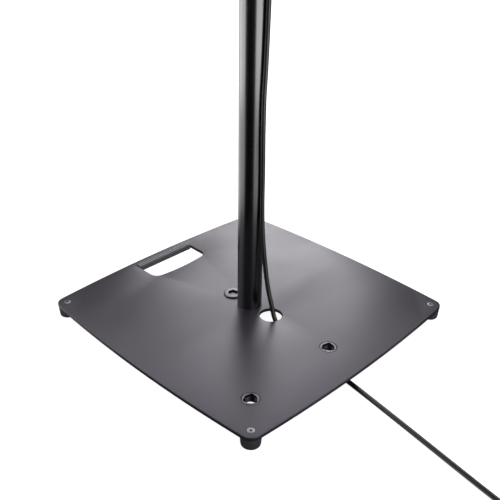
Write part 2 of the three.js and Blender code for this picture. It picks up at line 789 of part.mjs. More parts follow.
// From the connector on the pole, down to the floor through the cable hole, to the coil.
const cableRoute = [
  [...hangPlace, connectorHeight],
  [...hangPlace, connectorHeight - 22],
  [...besidePole(30.9), connectorHeight - 42],
  [...besidePole(27.5), connectorHeight - 72],
  [...besidePole(24.1), connectorHeight - 102],
  [...leadPlace, 655],
  [...leadPlace, cableStrapHeight],
  againstPole(11.2, 545),
  againstPole(9.5, 485),
  againstPole(4.6, 425),
  againstPole(1.1, 394),
  againstPole(-3.3, 362),
  againstPole(-4.3, 329),
  againstPole(-3.5, 294),
  againstPole(-1.9, 258),
  againstPole(-1.3, 224),
  [23.4, -0.9, 198],
  [25.8, -1.4, 160],
  [29.8, -1.3, 124],
  [35.2, -1.1, 88],
  [40.6, -1.0, 63],
  [46.6, -1.0, 44],
  [51.6, -1.1, 28.6],
  [55.2, -1.5, 20.9],
  [61.9, -2.3, 12.6],
  [71.8, -3.1, 6.4],
  [84.5, -4.0, floorHeight + 0.35],
  [105, -6.9, floorHeight],
  [150, -12.8, floorHeight],
  [223, -23.4, floorHeight],
  [314, -39.2, floorHeight],
  [400, -55, floorHeight],
  [455, -65.2, floorHeight + 0.4],
  coilApproach(-15),
  coilApproach(-fitGap),
].map(([x, y, z]) => new THREE.Vector3(x, y, z));

const spiralStart = coilApproach(2 * cableRadius);
const coilAxis = new THREE.Vector2(
  spiralStart[0] - Math.sin(coilHeading) * coilOuterRadius,
  spiralStart[1] + Math.cos(coilHeading) * coilOuterRadius,
);

function addCable() {
  const path = new THREE.CatmullRomCurve3(cableRoute);
  const section = new THREE.Shape(arc(0, 0, cableRadius, 0, 2 * Math.PI, cableSides).slice(0, -1));
  const tube = new THREE.ExtrudeGeometry(section, { steps: cableSteps, extrudePath: path });
  add('cable', 'cableJacket', tube);
  return path.getLength();
}

// Centre points of the coil: a spiral in, half a turn that climbs, and a spiral out on top.
function coilPoints(stepsPerTurn) {
  const start = coilHeading - Math.PI / 2;
  const radiusSpan = coilOuterRadius - coilInnerRadius;
  const total = 2 * coilTurns + 0.5;
  const steps = Math.round(total * stepsPerTurn);
  const points = [];
  for (let i = 0; i <= steps; i += 1) {
    const turns = (total * i) / steps;
    const climb = THREE.MathUtils.clamp((turns - coilTurns) / 0.5, 0, 1);
    const inward = Math.min(turns / coilTurns, 1);
    const outward = Math.max((turns - coilTurns - 0.5) / coilTurns, 0);
    const dip = coilReversalDip * Math.sin(Math.PI * climb);
    const radius = coilOuterRadius - radiusSpan * (inward - outward) - dip;
    const angle = start + 2 * Math.PI * turns;
    const rise = coilPitch * THREE.MathUtils.smoothstep(climb, 0, 1);
    points.push(new THREE.Vector3(
      coilAxis.x + radius * Math.cos(angle), coilAxis.y + radius * Math.sin(angle), coilFloor + rise));
  }
  return points;
}

// The free length after the coil bends the other way, so that the connector lies clear of it.
function tailPoints(from) {
  const direction = coilHeading + 2 * Math.PI * (2 * coilTurns + 0.5);
  const points = [];
  let spot = from;
  for (let i = 1; i <= coilTailSteps; i += 1) {
    const step = coilTailLength / coilTailSteps;
    const heading = direction - ((i - 0.5) * step) / coilTailBend;
    spot = spot.clone().add(new THREE.Vector3(Math.cos(heading), Math.sin(heading), 0).setLength(step));
    spot.z = THREE.MathUtils.lerp(from.z, connectorRadius + floorLift, i / coilTailSteps);
    points.push(spot);
  }
  return points;
}

// The coil's centre line, from the straight length before it to the connector.
function coilLine(stepsPerTurn) {
  const turns = coilPoints(stepsPerTurn);
  return [new THREE.Vector3(...coilApproach(0)), ...turns, ...tailPoints(turns.at(-1))];
}

// A round tube about a line that stays nearly level, closed at both ends.
function levelTube(line, radius, sides) {
  const up = new THREE.Vector3(0, 0, 1);
  const positions = [];
  line.forEach((point, i) => {
    const before = line[Math.max(i - 1, 0)];
    const after = line[Math.min(i + 1, line.length - 1)];
    const along = after.clone().sub(before).normalize();
    const side = up.clone().cross(along).normalize();
    const over = along.clone().cross(side);
    for (let k = 0; k < sides; k += 1) {
      const angle = (2 * Math.PI * k) / sides;
      const spot = point.clone()
        .addScaledVector(side, radius * Math.cos(angle))
        .addScaledVector(over, radius * Math.sin(angle));
      positions.push(spot.x, spot.y, spot.z);
    }
  });
  const index = [];
  for (let i = 0; i + 1 < line.length; i += 1) {
    for (let k = 0; k < sides; k += 1) {
      const [a, b] = [i * sides + k, i * sides + ((k + 1) % sides)];
      index.push(a, b, b + sides, a, b + sides, a + sides);
    }
  }
  const lastRing = (line.length - 1) * sides;
  for (let k = 1; k + 1 < sides; k += 1) {
    index.push(0, k + 1, k, lastRing, lastRing + k, lastRing + k + 1);
  }
  const geometry = new THREE.BufferGeometry();
  geometry.setAttribute('position', new THREE.Float32BufferAttribute(positions, 3));
  geometry.setIndex(index);
  return geometry;
}

// The least distance between surfaces of turns that lie beside or on each other.
function leastCoilGap(points, stepsPerTurn) {
  let least = Infinity;
  points.forEach((point, i) => {
    for (let k = i + Math.round(stepsPerTurn / 2); k < points.length; k += 1) {
      least = Math.min(least, point.distanceTo(points[k]) - 2 * cableRadius);
    }
  });
  return least;
}

function addCoil() {
  add('cable_coil', 'cableJacket', levelTube(coilLine(coilStepsPerTurn), cableRadius, coilSides));
  const fineSteps = 4 * coilStepsPerTurn;
  const leastGap = leastCoilGap(coilPoints(fineSteps), fineSteps);
  console.log('least gap between the turns of the coil, mm:', leastGap.toFixed(2));
  const line = coilLine(fineSteps);
  return line.slice(1).reduce((sum, point, i) => sum + point.distanceTo(line[i]), 0);
}

// The tie goes round all the turns at one place. It stands radially, under and over them.
function addCoilTie() {
  const inner = coilInnerRadius - cableRadius - tieInnerGap;
  const outer = coilOuterRadius + cableRadius + tieOuterGap;
  const half = cableRadius + coilPitch / 2 + fitGap;
  const middle = coilFloor + coilPitch / 2;
  const rounded = (extra) => [
    ...arc(outer - half, 0, half + extra, -Math.PI / 2, Math.PI / 2, 10),
    ...arc(inner + half, 0, half + extra, Math.PI / 2, (3 * Math.PI) / 2, 10),
  ];
  const shape = new THREE.Shape(rounded(tieThickness));
  shape.holes.push(new THREE.Path(rounded(0)));
  const band = raised(shape, -tieWidth / 2, tieWidth / 2).rotateX(Math.PI / 2);
  const mesh = add('coil_tie', 'strapFabric', band, coilAxis.x, coilAxis.y, middle);
  mesh.rotation.z = degrees(coilTieAngle);
}

function addHangingConnector() {
  addConnector('pole_connector', (mesh) => mesh.position.set(...hangPlace, connectorHeight + seatGap));
}

function addFloorConnector() {
  const line = coilLine(coilStepsPerTurn);
  const end = line.at(-1);
  const heading = end.clone().sub(line.at(-2)).setZ(0).normalize();
  const turn = new THREE.Quaternion().setFromUnitVectors(new THREE.Vector3(0, 0, 1), heading);
  addConnector('floor_connector', (mesh) => {
    mesh.position.copy(end).addScaledVector(heading, seatGap);
    mesh.quaternion.copy(turn);
  });
}

// ---- The stand ------------------------------------------------------------------------

addBasePlate();
Object.entries(socketPlaces).forEach(([name, place]) => addSocket(name, place));
addBlankingPlug();
addHandleGrip();
Object.entries(cornerPlaces).forEach(([corner, place]) => addFoot(corner, place));
addLowerTube();
addFootPlug();
addCollar();
addSetScrews();
addGuideBush();
addUpperTube();
addTubeEnds();
addClamp();
addLockingPin();
addHangingConnector();
addStrap('cable_strap', cableRadius, leadPlace, cableStrapHeight);
addStrap('connector_strap', connectorRadius, hangPlace, connectorStrapHeight);
const freeLength = addCable();
const coilLength = addCoil();
addCoilTie();
addFloorConnector();
console.log('cable length, mm:', (freeLength + coilLength).toFixed(0));

export default stand;
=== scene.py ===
# %% [markdown]
# # A speaker stand, dressed around its measured frame
#
# The stand is a flat square steel base with rubber feet, a centre pole that telescopes and a
# speaker lead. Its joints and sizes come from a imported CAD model, which we load as a fixed
# frame. Everything made here sits on that frame: finer meshes where a faceted part would show,
# and a finish for every surface.

# %% Load the frame
import json
import math

import bmesh
import bpy
from mathutils import Matrix, Vector


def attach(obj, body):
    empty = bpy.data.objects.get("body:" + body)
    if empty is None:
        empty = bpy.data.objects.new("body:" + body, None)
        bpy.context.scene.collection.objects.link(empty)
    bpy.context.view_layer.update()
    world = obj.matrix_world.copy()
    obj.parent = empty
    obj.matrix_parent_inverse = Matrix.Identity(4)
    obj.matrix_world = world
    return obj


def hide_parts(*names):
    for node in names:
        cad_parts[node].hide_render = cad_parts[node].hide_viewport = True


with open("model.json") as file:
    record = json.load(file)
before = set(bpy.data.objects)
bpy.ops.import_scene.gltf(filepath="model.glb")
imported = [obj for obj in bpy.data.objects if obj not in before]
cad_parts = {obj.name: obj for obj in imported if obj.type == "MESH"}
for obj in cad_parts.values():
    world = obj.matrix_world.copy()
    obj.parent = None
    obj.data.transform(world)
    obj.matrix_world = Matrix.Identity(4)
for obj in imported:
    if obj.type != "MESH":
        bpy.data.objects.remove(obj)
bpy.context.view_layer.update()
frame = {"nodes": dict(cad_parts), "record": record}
MM = 0.001
MM_PER_METRE = 1000.0

# %% [markdown]
# ## The camera
#
# The photograph was taken from the front corner of the base, a little above the middle of the
# pole. We describe the camera as a photographer would: where it stands, how far it pans and
# tips, and how much it rolls. Its lens follows from how strongly the base tapers with distance.

# %% Camera
CAMERA_PLACE = Vector((693.8, -713.7, 684.7)) * MM
CAMERA_PAN = 0.0137
CAMERA_TIP = 0.5179
CAMERA_ROLL = 0.0142
SENSOR_WIDTH = 36.0
FOCAL_LENGTH = 759.49 * SENSOR_WIDTH / 500


def in_scene(name, data):
    """A new object in the scene, with that mesh, curve, lamp or camera."""
    made = bpy.data.objects.new(name, data)
    bpy.context.scene.collection.objects.link(made)
    return made


def aim_camera():
    """Stands the camera on the corner's diagonal, then pans, tips and rolls it."""
    across = math.cos(CAMERA_TIP)
    ahead = Vector((math.sin(CAMERA_PAN) * across, math.cos(CAMERA_PAN) * across, -math.sin(CAMERA_TIP)))
    ahead = Matrix.Rotation(math.radians(45), 3, "Z") @ ahead
    right = ahead.cross(Vector((0, 0, 1))).normalized()
    up = right.cross(ahead)
    right, up = (
        math.cos(CAMERA_ROLL) * right + math.sin(CAMERA_ROLL) * up,
        math.cos(CAMERA_ROLL) * up - math.sin(CAMERA_ROLL) * right,
    )
    data = bpy.data.cameras.new("camera")
    data.lens = FOCAL_LENGTH
    data.sensor_width = SENSOR_WIDTH
    data.clip_start = 0.05
    camera = in_scene("camera", data)
    turn = Matrix((right, up, -ahead)).transposed().to_4x4()
    camera.matrix_world = Matrix.Translation(CAMERA_PLACE) @ turn
    bpy.context.scene.camera = camera


aim_camera()
print("lens, mm:", round(FOCAL_LENGTH, 2))

# %% [markdown]
# ## Small helpers for building finishes
#
# Blender's materials are graphs of nodes. A few helpers keep the graphs readable: one adds a node
# and sets its values by name, one joins two sockets, and one adds a step of arithmetic whose
# inputs are numbers or the outputs of other nodes.


# %% Node helpers
def add_node(tree, kind, **values):
    """Adds a node. Each value goes to the input of that name, or else to the node's own setting."""
    node = tree.nodes.new(kind)
    for name, value in values.items():
        label = name.replace("_", " ").title()
        if label in node.inputs:
            node.inputs[label].default_value = value
        else:
            setattr(node, name, value)
    return node


def join(tree, source, output, target, target_input):
    """Joins an output to an input, both given by name or number."""
    tree.links.new(source.outputs[output], target.inputs[target_input])


def feed(tree, node, sources):
    """Fills a node's inputs in order, each from a number or vector or from (node, output)."""
    for spot, source in enumerate(sources):
        if isinstance(source, tuple) and hasattr(source[0], "outputs"):
            join(tree, *source, node, spot)
        else:
            node.inputs[spot].default_value = source
    return node


def calc(tree, operation, *sources, **values):
    """A step of arithmetic."""
    return feed(tree, add_node(tree, "ShaderNodeMath", operation=operation, **values), sources)


def vector_calc(tree, operation, *sources):
    """A step of arithmetic on vectors."""
    return feed(tree, add_node(tree, "ShaderNodeVectorMath", operation=operation), sources)


def ramp(tree, source, low, high, **values):
    """0 at the low value of a source and 1 at the high one, unless other ends are given."""
    node = add_node(tree, "ShaderNodeMapRange", from_min=low, from_max=high, **values)
    join(tree, *source, node, "Value")
    return node


def own_place(tree):
    """Where a point lies in its own object, in metres."""
    return add_node(tree, "ShaderNodeTexCoord"), "Object"


def own_level_place(tree):
    """The same, seen from above."""
    return vector_calc(tree, "MULTIPLY", own_place(tree), (1, 1, 0)), 0


def own_noise(tree, size_mm, detail):
    """Noise over the object, its spots about that large. The size is an output in millimetres."""
    noise = add_node(tree, "ShaderNodeTexNoise", detail=detail)
    join(tree, *own_place(tree), noise, "Vector")
    join(tree, calc(tree, "DIVIDE", MM_PER_METRE, size_mm), 0, noise, "Scale")
    return noise, "Fac"


def new_group(name, inputs, outputs):
    """An empty node group with named float sockets. Inputs carry their usual value."""
    tree = bpy.data.node_groups.new(name, "ShaderNodeTree")
    for label, value in inputs.items():
        socket = tree.interface.new_socket(label, in_out="INPUT", socket_type="NodeSocketFloat")
        socket.default_value = value
    for label in outputs:
        tree.interface.new_socket(label, in_out="OUTPUT", socket_type="NodeSocketFloat")
    return tree, tree.nodes.new("NodeGroupInput"), tree.nodes.new("NodeGroupOutput")


# %% [markdown]
# ## Effects that several finishes share
#
# Powder coat, moulded plastic and rubber all have a fine grain and slightly uneven patches of
# gloss. Painted and plated pieces also show lighter edges, where hands and floors have rubbed
# them. Each effect is a node group, built once, which every finish places with its own values.


# %% Grain and patches
def build_surface_grain():
    """Height is the fine grain. Patches is a soft mottle that changes over some centimetres."""
    inputs = {"Grain Size mm": 1.0, "Patch Size mm": 60.0}
    tree, source, result = new_group("surface grain", inputs, ["Height", "Patches"])
    for label, output, detail in (("Grain Size mm", "Height", 2.0), ("Patch Size mm", "Patches", 4.0)):
        join(tree, *own_noise(tree, (source, label), detail), result, output)
    return tree


SURFACE_GRAIN = build_surface_grain()


# %% Rubbed edges
def build_rubbed_edges():
    """Mask is 1 on sharp edges. A rounded normal differs from the true one only near an edge."""
    inputs = {"Width mm": 0.6, "Amount": 1.0, "Breakup mm": 5.0}
    tree, source, result = new_group("rubbed edges", inputs, ["Mask"])
    rounded = add_node(tree, "ShaderNodeBevel", samples=4)
    join(tree, calc(tree, "MULTIPLY", (source, "Width mm"), MM), 0, rounded, "Radius")
    true_normal = add_node(tree, "ShaderNodeNewGeometry")
    alike = vector_calc(tree, "DOT_PRODUCT", (rounded, "Normal"), (true_normal, "Normal"))
    bend = ramp(tree, (alike, "Value"), 0.995, 0.8)
    broken = ramp(tree, own_noise(tree, (source, "Breakup mm"), 3.0), 0.35, 0.65)
    worn = calc(tree, "MULTIPLY", (bend, "Result"), (broken, "Result"))
    amount = calc(tree, "MULTIPLY", (worn, 0), (source, "Amount"), use_clamp=True)
    join(tree, amount, 0, result, "Mask")
    return tree


RUBBED_EDGES = build_rubbed_edges()


# %% Turning marks
def build_turning_marks():
    """Fine rings round a turned piece's own Z axis, as a lathe tool leaves them."""
    tree, source, result = new_group("turning marks", {"Pitch mm": 0.5}, ["Height"])
    out = vector_calc(tree, "LENGTH", own_level_place(tree))
    rate = calc(tree, "DIVIDE", MM_PER_METRE, (source, "Pitch mm"))
    rings = calc(tree, "MULTIPLY", (out, "Value"), (rate, 0))
    noise = add_node(tree, "ShaderNodeTexNoise", noise_dimensions="1D", scale=1.0, detail=2.0)
    join(tree, rings, 0, noise, "W")
    join(tree, noise, "Fac", result, "Height")
    return tree


TURNING_MARKS = build_turning_marks()


# %% Woven tape
def build_tape_weave():
    """Height and Shade of a plain weave. The tape's own map runs along and across it in metres."""
    tree, source, result = new_group("tape weave", {"Thread mm": 0.7}, ["Height", "Shade"])
    split = add_node(tree, "ShaderNodeSeparateXYZ")
    join(tree, add_node(tree, "ShaderNodeUVMap", uv_map="tape"), "UV", split, 0)
    rate = calc(tree, "DIVIDE", MM_PER_METRE * math.pi, (source, "Thread mm"))
    waves = []
    for axis in (0, 1):
        phase = calc(tree, "MULTIPLY", (split, axis), (rate, 0))
        waves.append((calc(tree, "SINE", (phase, 0)), 0))
    crossing = calc(tree, "MULTIPLY", *waves)
    join(tree, calc(tree, "ABSOLUTE", (crossing, 0)), 0, result, "Height")
    join(tree, ramp(tree, (crossing, 0), -1.0, 1.0), "Result", result, "Shade")
    return tree


TAPE_WEAVE = build_tape_weave()


# %% Upward faces and a band of height, masks that paint light and shade
def build_upward_faces():
    """Mask is 1 where a surface faces up. Finishes use it to paint light and shade by which way a surface
    faces.
    """
    tree, source, result = new_group("upward faces", {"Steepest": 0.55}, ["Mask"])
    split = add_node(tree, "ShaderNodeSeparateXYZ")
    join(tree, add_node(tree, "ShaderNodeNewGeometry"), "Normal", split, 0)
    level = add_node(tree, "ShaderNodeMapRange", from_max=0.95)
    join(tree, split, "Z", level, "Value")
    join(tree, source, "Steepest", level, "From Min")
    join(tree, level, "Result", result, "Mask")
    return tree


def build_height_band():
    """Mask rises from 0 to 1 between two heights in the piece's own millimetres."""
    tree, source, result = new_group("height band", {"Low mm": 0.0, "High mm": 1.0}, ["Mask"])
    split = add_node(tree, "ShaderNodeSeparateXYZ")
    join(tree, *own_place(tree), split, 0)
    level = add_node(tree, "ShaderNodeMapRange")
    join(tree, calc(tree, "MULTIPLY", (split, "Z"), MM_PER_METRE), 0, level, "Value")
    join(tree, source, "Low mm", level, "From Min")
    join(tree, source, "High mm", level, "From Max")
    join(tree, level, "Result", result, "Mask")
    return tree


UPWARD_FACES = build_upward_faces()
HEIGHT_BAND = build_height_band()

# %% [markdown]
# ## The finishes
#
# Every finish starts from the Principled shader. Its plain values, such as sheen or coat, are
# set on the shader itself. What changes over the surface, such as colour, roughness and fine
# height, comes from the groups above. The names are those of the record's material slots.


# %% Finish helper
class Finish:
    """A material with a Principled shader and short ways to add the shared effects."""

    def __init__(self, name, colour, roughness, metallic=0.0, **sockets):
        self.material = bpy.data.materials.new(name)
        self.material.use_nodes = True
        self.tree = self.material.node_tree
        self.shader = self.tree.nodes["Principled BSDF"]
        self.colour = (*colour, 1.0)
        self.shader.inputs["Base Color"].default_value = self.colour
        self.shader.inputs["Roughness"].default_value = roughness
        self.shader.inputs["Metallic"].default_value = metallic
        self.roughness = roughness
        for label, value in sockets.items():
            self.shader.inputs[label.replace("_", " ")].default_value = value
        self.height_normal = None

    def place(self, group, **values):
        """Places a shared effect with this finish's own values."""
        node = self.tree.nodes.new("ShaderNodeGroup")
        node.node_tree = group
        for label, value in values.items():
            node.inputs[label.replace("_", " ")].default_value = value
        return node

    def tint(self, mask, output, colour, low=0.0, high=1.0):
        """Mixes another colour in where the mask is high."""
        weight = add_node(self.tree, "ShaderNodeMapRange", to_min=low, to_max=high)
        join(self.tree, mask, output, weight, "Value")
        mix = add_node(self.tree, "ShaderNodeMix", data_type="RGBA")
        join(self.tree, weight, "Result", mix, "Factor")
        base = self.shader.inputs["Base Color"]
        if base.links:
            self.tree.links.new(base.links[0].from_socket, mix.inputs["A"])
        mix.inputs["A"].default_value = self.colour
        mix.inputs["B"].default_value = (*colour, 1.0)
        self.tree.links.new(mix.outputs["Result"], base)
        return self

    def uneven_gloss(self, mask, output, spread):
        """Lets the roughness vary to each side of its value."""
        spot = add_node(self.tree, "ShaderNodeMapRange", from_min=0.3, from_max=0.7)
        spot.inputs["To Min"].default_value = self.roughness - spread
        spot.inputs["To Max"].default_value = self.roughness + spread
        join(self.tree, mask, output, spot, "Value")
        join(self.tree, spot, "Result", self.shader, "Roughness")
        return self

    def relief(self, mask, output, depth_mm, strength=1.0):
        """Adds fine height to the surface."""
        bump = add_node(self.tree, "ShaderNodeBump", strength=strength, distance=depth_mm * MM)
        join(self.tree, mask, output, bump, "Height")
        if self.height_normal:
            join(self.tree, self.height_normal, "Normal", bump, "Normal")
        self.height_normal = bump
        join(self.tree, bump, "Normal", self.shader, "Normal")
        return self


FINISHES = {}


def srgb(*levels):
    """Colour levels from 0 to 255, as a screen shows them, made linear for the shader."""
    return tuple(
        level / 255 / 12.92 if level <= 10 else ((level / 255 + 0.055) / 1.055) ** 2.4 for level in levels
    )


# %% [markdown]
# ### Powder coat
#
# The base is steel with a semi-gloss powder coat that reads dark violet grey. It mirrors the
# room softly: pale behind the pole, dark at the side corners. The plain shader does this with
# a middling roughness. The fine orange-peel grain keeps the mirror from looking like glass.


# %% Powder-coated steel
def make_powder_coat():
    tint = (0.93, 0.855, 1.0, 1.0)
    finish = Finish("powder_coat", srgb(40, 37, 44), 0.355, Specular_IOR_Level=0.7, Specular_Tint=tint)
    grain = finish.place(SURFACE_GRAIN, Grain_Size_mm=1.3, Patch_Size_mm=90)
    edges = finish.place(RUBBED_EDGES, Width_mm=0.7, Amount=0.3)
    finish.tint(grain, "Patches", srgb(46, 43, 50), 0.0, 0.5)
    finish.tint(edges, "Mask", srgb(96, 92, 101))
    finish.uneven_gloss(grain, "Patches", 0.03)
    finish.relief(grain, "Height", 0.03, 0.5)
    FINISHES["powder_coat"] = finish.material


def make_tube_coat():
    finish = Finish("tube_coat", srgb(9, 9, 10), 0.3, Specular_IOR_Level=1.0, Coat_Weight=1.0,
                    Coat_Roughness=0.2, Coat_IOR=1.8)
    grain = finish.place(SURFACE_GRAIN, Grain_Size_mm=1.0, Patch_Size_mm=45)
    edges = finish.place(RUBBED_EDGES, Width_mm=0.5, Amount=0.3)
    finish.tint(edges, "Mask", srgb(80, 80, 82))
    finish.uneven_gloss(grain, "Patches", 0.03)
    finish.relief(grain, "Height", 0.008, 0.3)
    FINISHES["tube_coat"] = finish.material


make_powder_coat()
make_tube_coat()


# %% [markdown]
# ### Metals
#
# The sockets and the blanking plug are nickel-plated and turned on a lathe. Their tops are painted
# lighter and their sides and bores darker: painted light on the tops, painted shade round the rims
# and in the bores. Screws, nuts and pins are zinc. A metal's colour tints its reflections, so the
# metallic value is 1 and the base colour says which metal it is.


# %% Turned and plated metals
def make_metals():
    socket = Finish("socket_steel", srgb(76, 73, 80), 0.36, 1.0)
    # Painted light: this band paints the socket's top lighter; the rim below it and the bore keep the darker
    # colour as painted shade.
    painted_top_light = socket.place(HEIGHT_BAND, Low_mm=-0.6, High_mm=-0.08)
    socket.tint(painted_top_light, "Mask", srgb(106, 103, 110))
    rings = socket.place(TURNING_MARKS, Pitch_mm=0.35)
    wear = socket.place(RUBBED_EDGES, Width_mm=0.3, Amount=0.5)
    socket.tint(wear, "Mask", srgb(112, 109, 116))
    socket.relief(rings, "Height", 0.02, 0.5)
    FINISHES["socket_steel"] = socket.material

    plug = Finish("plug_metal", srgb(56, 53, 60), 0.4, 1.0)
    rings = plug.place(TURNING_MARKS, Pitch_mm=0.3)
    # Painted light: faces that point up are painted lighter; the plug's sides and the walls of its key stay
    # darker as painted shade.
    painted_top_light = plug.place(UPWARD_FACES, Steepest=0.55)
    plug.tint(painted_top_light, "Mask", srgb(106, 103, 110))
    plug.relief(rings, "Height", 0.015, 0.5)
    FINISHES["plug_metal"] = plug.material

    zinc = Finish("zinc_steel", srgb(144, 144, 150), 0.36, 1.0)
    grain = zinc.place(SURFACE_GRAIN, Grain_Size_mm=0.4, Patch_Size_mm=6)
    zinc.tint(grain, "Patches", srgb(118, 118, 122), 0.0, 0.7)
    zinc.uneven_gloss(grain, "Patches", 0.06)
    zinc.relief(grain, "Height", 0.006, 0.4)
    FINISHES["zinc_steel"] = zinc.material


make_metals()

# %% [markdown]
# ### Rubber, plastic and tape
#
# The feet are matte rubber, the grip over the carry slot is a dark grey plastic, and the collar
# and knob are black nylon with a spark-eroded grain. Two masks paint light and shade on the grip:
# a painted highlight on its rib tops and painted shade in the grooves between them. The lead's
# jacket is soft and slightly shiny. The straps are woven hook-and-loop tape, which needs a weave
# instead of a grain.


# %% Soft and moulded finishes
def make_moulded(name, colour, roughness, grain_mm, depth_mm, edge_amount=0.0, **sockets):
    """A moulded material: one colour, a grain, uneven gloss and lighter rubbed edges."""
    finish = Finish(name, colour, roughness, **sockets)
    grain = finish.place(SURFACE_GRAIN, Grain_Size_mm=grain_mm, Patch_Size_mm=25)
    finish.tint(grain, "Patches", tuple(level * 1.5 + 0.004 for level in colour), 0.0, 0.5)
    finish.uneven_gloss(grain, "Patches", 0.05)
    finish.relief(grain, "Height", depth_mm, 0.6)
    if edge_amount:
        edges = finish.place(RUBBED_EDGES, Width_mm=0.5, Amount=edge_amount)
        finish.tint(edges, "Mask", tuple(level * 3 + 0.03 for level in colour))
    FINISHES[name] = finish.material
    return finish


make_moulded("foot_rubber", srgb(50, 49, 51), 0.7, 0.5, 0.03, 0.3)
grip = make_moulded("grip_plastic", srgb(86, 84, 89), 0.5, 0.5, 0.02, 0.4)
# Painted shade: faces that point up, the grooves between the ribs among them, are painted darker. Painted
# highlight: the rib tops, above 23.5 mm, are painted lighter.
grip.tint(grip.place(UPWARD_FACES, Steepest=0.5), "Mask", srgb(46, 44, 48))
grip.tint(grip.place(HEIGHT_BAND, Low_mm=23.5, High_mm=24.1), "Mask", srgb(128, 126, 131))
make_moulded("black_plastic", srgb(26, 26, 27), 0.45, 0.45, 0.03, 0.4)
make_moulded("connector_plastic", srgb(24, 24, 26), 0.4, 0.4, 0.02, 0.3)
make_moulded("connector_insert", srgb(52, 92, 148), 0.4, 0.5, 0.01, 0.2)
make_moulded("cable_jacket", srgb(8, 8, 10), 0.34, 0.8, 0.02, Specular_IOR_Level=0.8)


def make_strap_fabric():
    finish = Finish("strap_fabric", srgb(20, 20, 21), 0.9, Sheen_Weight=0.35, Sheen_Roughness=0.4)
    weave = finish.place(TAPE_WEAVE, Thread_mm=0.8)
    finish.tint(weave, "Shade", srgb(46, 46, 48), 0.0, 0.8)
    finish.relief(weave, "Height", 0.25, 0.8)
    FINISHES["strap_fabric"] = finish.material


make_strap_fabric()
print("finishes:", sorted(FINISHES))

# %% [markdown]
# ## Helpers for building shapes
#
# Most pieces of the stand are round: tubes, feet, sockets, knobs. We describe them by rows of
# radius and height, and let a row's radius change with the angle where a piece has flutes,
# lobes or a hexagonal key. All lengths are in millimetres until a mesh is made.


# %% Profiles and turned shapes
def eased(corners, steps=4):
    """A profile whose corners are (x, z), or (x, z, size) where the corner is rounded."""
    points = []
    for i, corner in enumerate(corners):
        spot = Vector(corner[:2])
        if len(corner) < 3:
            points.append(spot)
            continue
        before, after = Vector(corners[i - 1][:2]), Vector(corners[(i + 1) % len(corners)][:2])
        start = spot + (before - spot).normalized() * corner[2]
        end = spot + (after - spot).normalized() * corner[2]
        for step in range(steps + 1):
            share = step / steps
            points.append(start * (1 - share) ** 2 + spot * 2 * share * (1 - share) + end * share**2)
    return [tuple(point) for point in points]


def turned(rows, segments=96, closed=False):
    """Corners and faces of a shape about +Z. A row is (radius, height), radius a number or a
    function of the angle. With closed, the last row joins the first, as in a ring."""
    corners, rings, faces = [], [], []
    for radius, height in rows:
        if not callable(radius) and radius == 0:
            rings.append([len(corners)])
            corners.append((0, 0, height))
            continue
        rings.append(list(range(len(corners), len(corners) + segments)))
        for k in range(segments):
            angle = 2 * math.pi * k / segments
            reach = radius(angle) if callable(radius) else radius
            corners.append((reach * math.cos(angle), reach * math.sin(angle), height))
    following = rings[1:] + ([rings[0]] if closed else [])
    for low, high in zip(rings, following):
        for k in range(segments):
            n = (k + 1) % segments
            if len(low) == 1:
                faces.append((low[0], high[n], high[k]))
            elif len(high) == 1:
                faces.append((low[k], low[n], high[0]))
            else:
                faces.append((low[k], low[n], high[n], high[k]))
    return corners, faces


def skin(count, ring, closed=False):
    """Faces between that many rings of corners. With closed, the last ring joins the first."""
    faces = []
    for i in range(count if closed else count - 1):
        low, high = i * ring, (i + 1) % count * ring
        for k in range(ring):
            n = (k + 1) % ring
            faces.append((low + k, low + n, high + n, high + k))
    return faces


def capped_skin(count, ring):
    """The same with a face over the first ring and one over the last."""
    last = (count - 1) * ring
    return skin(count, ring) + [tuple(range(ring)), tuple(range(last, last + ring))]


def hexagon_reach(width, turn=30):
    """The radius of a hexagon of that width across its flats, with a corner at that angle."""
    return lambda angle: width / 2 / math.cos((angle - math.radians(turn)) % (math.pi / 3) - math.pi / 6)


def moved(shape, x=0.0, y=0.0, z=0.0, turn=None):
    """The shape turned, then moved."""
    corners, faces = shape
    turn = turn or Matrix.Identity(3)
    return [tuple(turn @ Vector(c) + Vector((x, y, z))) for c in corners], faces


def together(*shapes):
    """Several shapes as one, side by side."""
    corners, faces = [], []
    for shape_corners, shape_faces in shapes:
        faces += [tuple(i + len(corners) for i in face) for face in shape_faces]
        corners += shape_corners
    return corners, faces


ALONG_MINUS_Y = Matrix.Rotation(math.radians(90), 3, "X")
ALONG_X = Matrix.Rotation(math.radians(90), 3, "Y")
ALONG_MINUS_X = Matrix.Rotation(math.radians(-90), 3, "Y")


# %% From shape to piece
def make_mesh(name, shape):
    """A mesh in metres with its faces turned outwards."""
    corners, faces = shape
    mesh = bpy.data.meshes.new(name)
    mesh.from_pydata([Vector(c) * MM for c in corners], [], faces)
    work = bmesh.new()
    work.from_mesh(mesh)
    bmesh.ops.remove_doubles(work, verts=work.verts, dist=0.000002)
    bmesh.ops.recalc_face_normals(work, faces=work.faces)
    work.to_mesh(mesh)
    work.free()
    return mesh


def make_object(name, shape):
    return in_scene(name, make_mesh(name, shape))


def combine(target, other, how):
    """Adds or cuts another object, which is then thrown away."""
    step = target.modifiers.new(how.lower(), "BOOLEAN")
    step.operation = how
    step.solver = "EXACT"
    step.object = other
    bpy.context.view_layer.update()
    result = bpy.data.meshes.new_from_object(target.evaluated_get(bpy.context.evaluated_depsgraph_get()))
    target.modifiers.clear()
    target.data = result
    bpy.data.objects.remove(other)


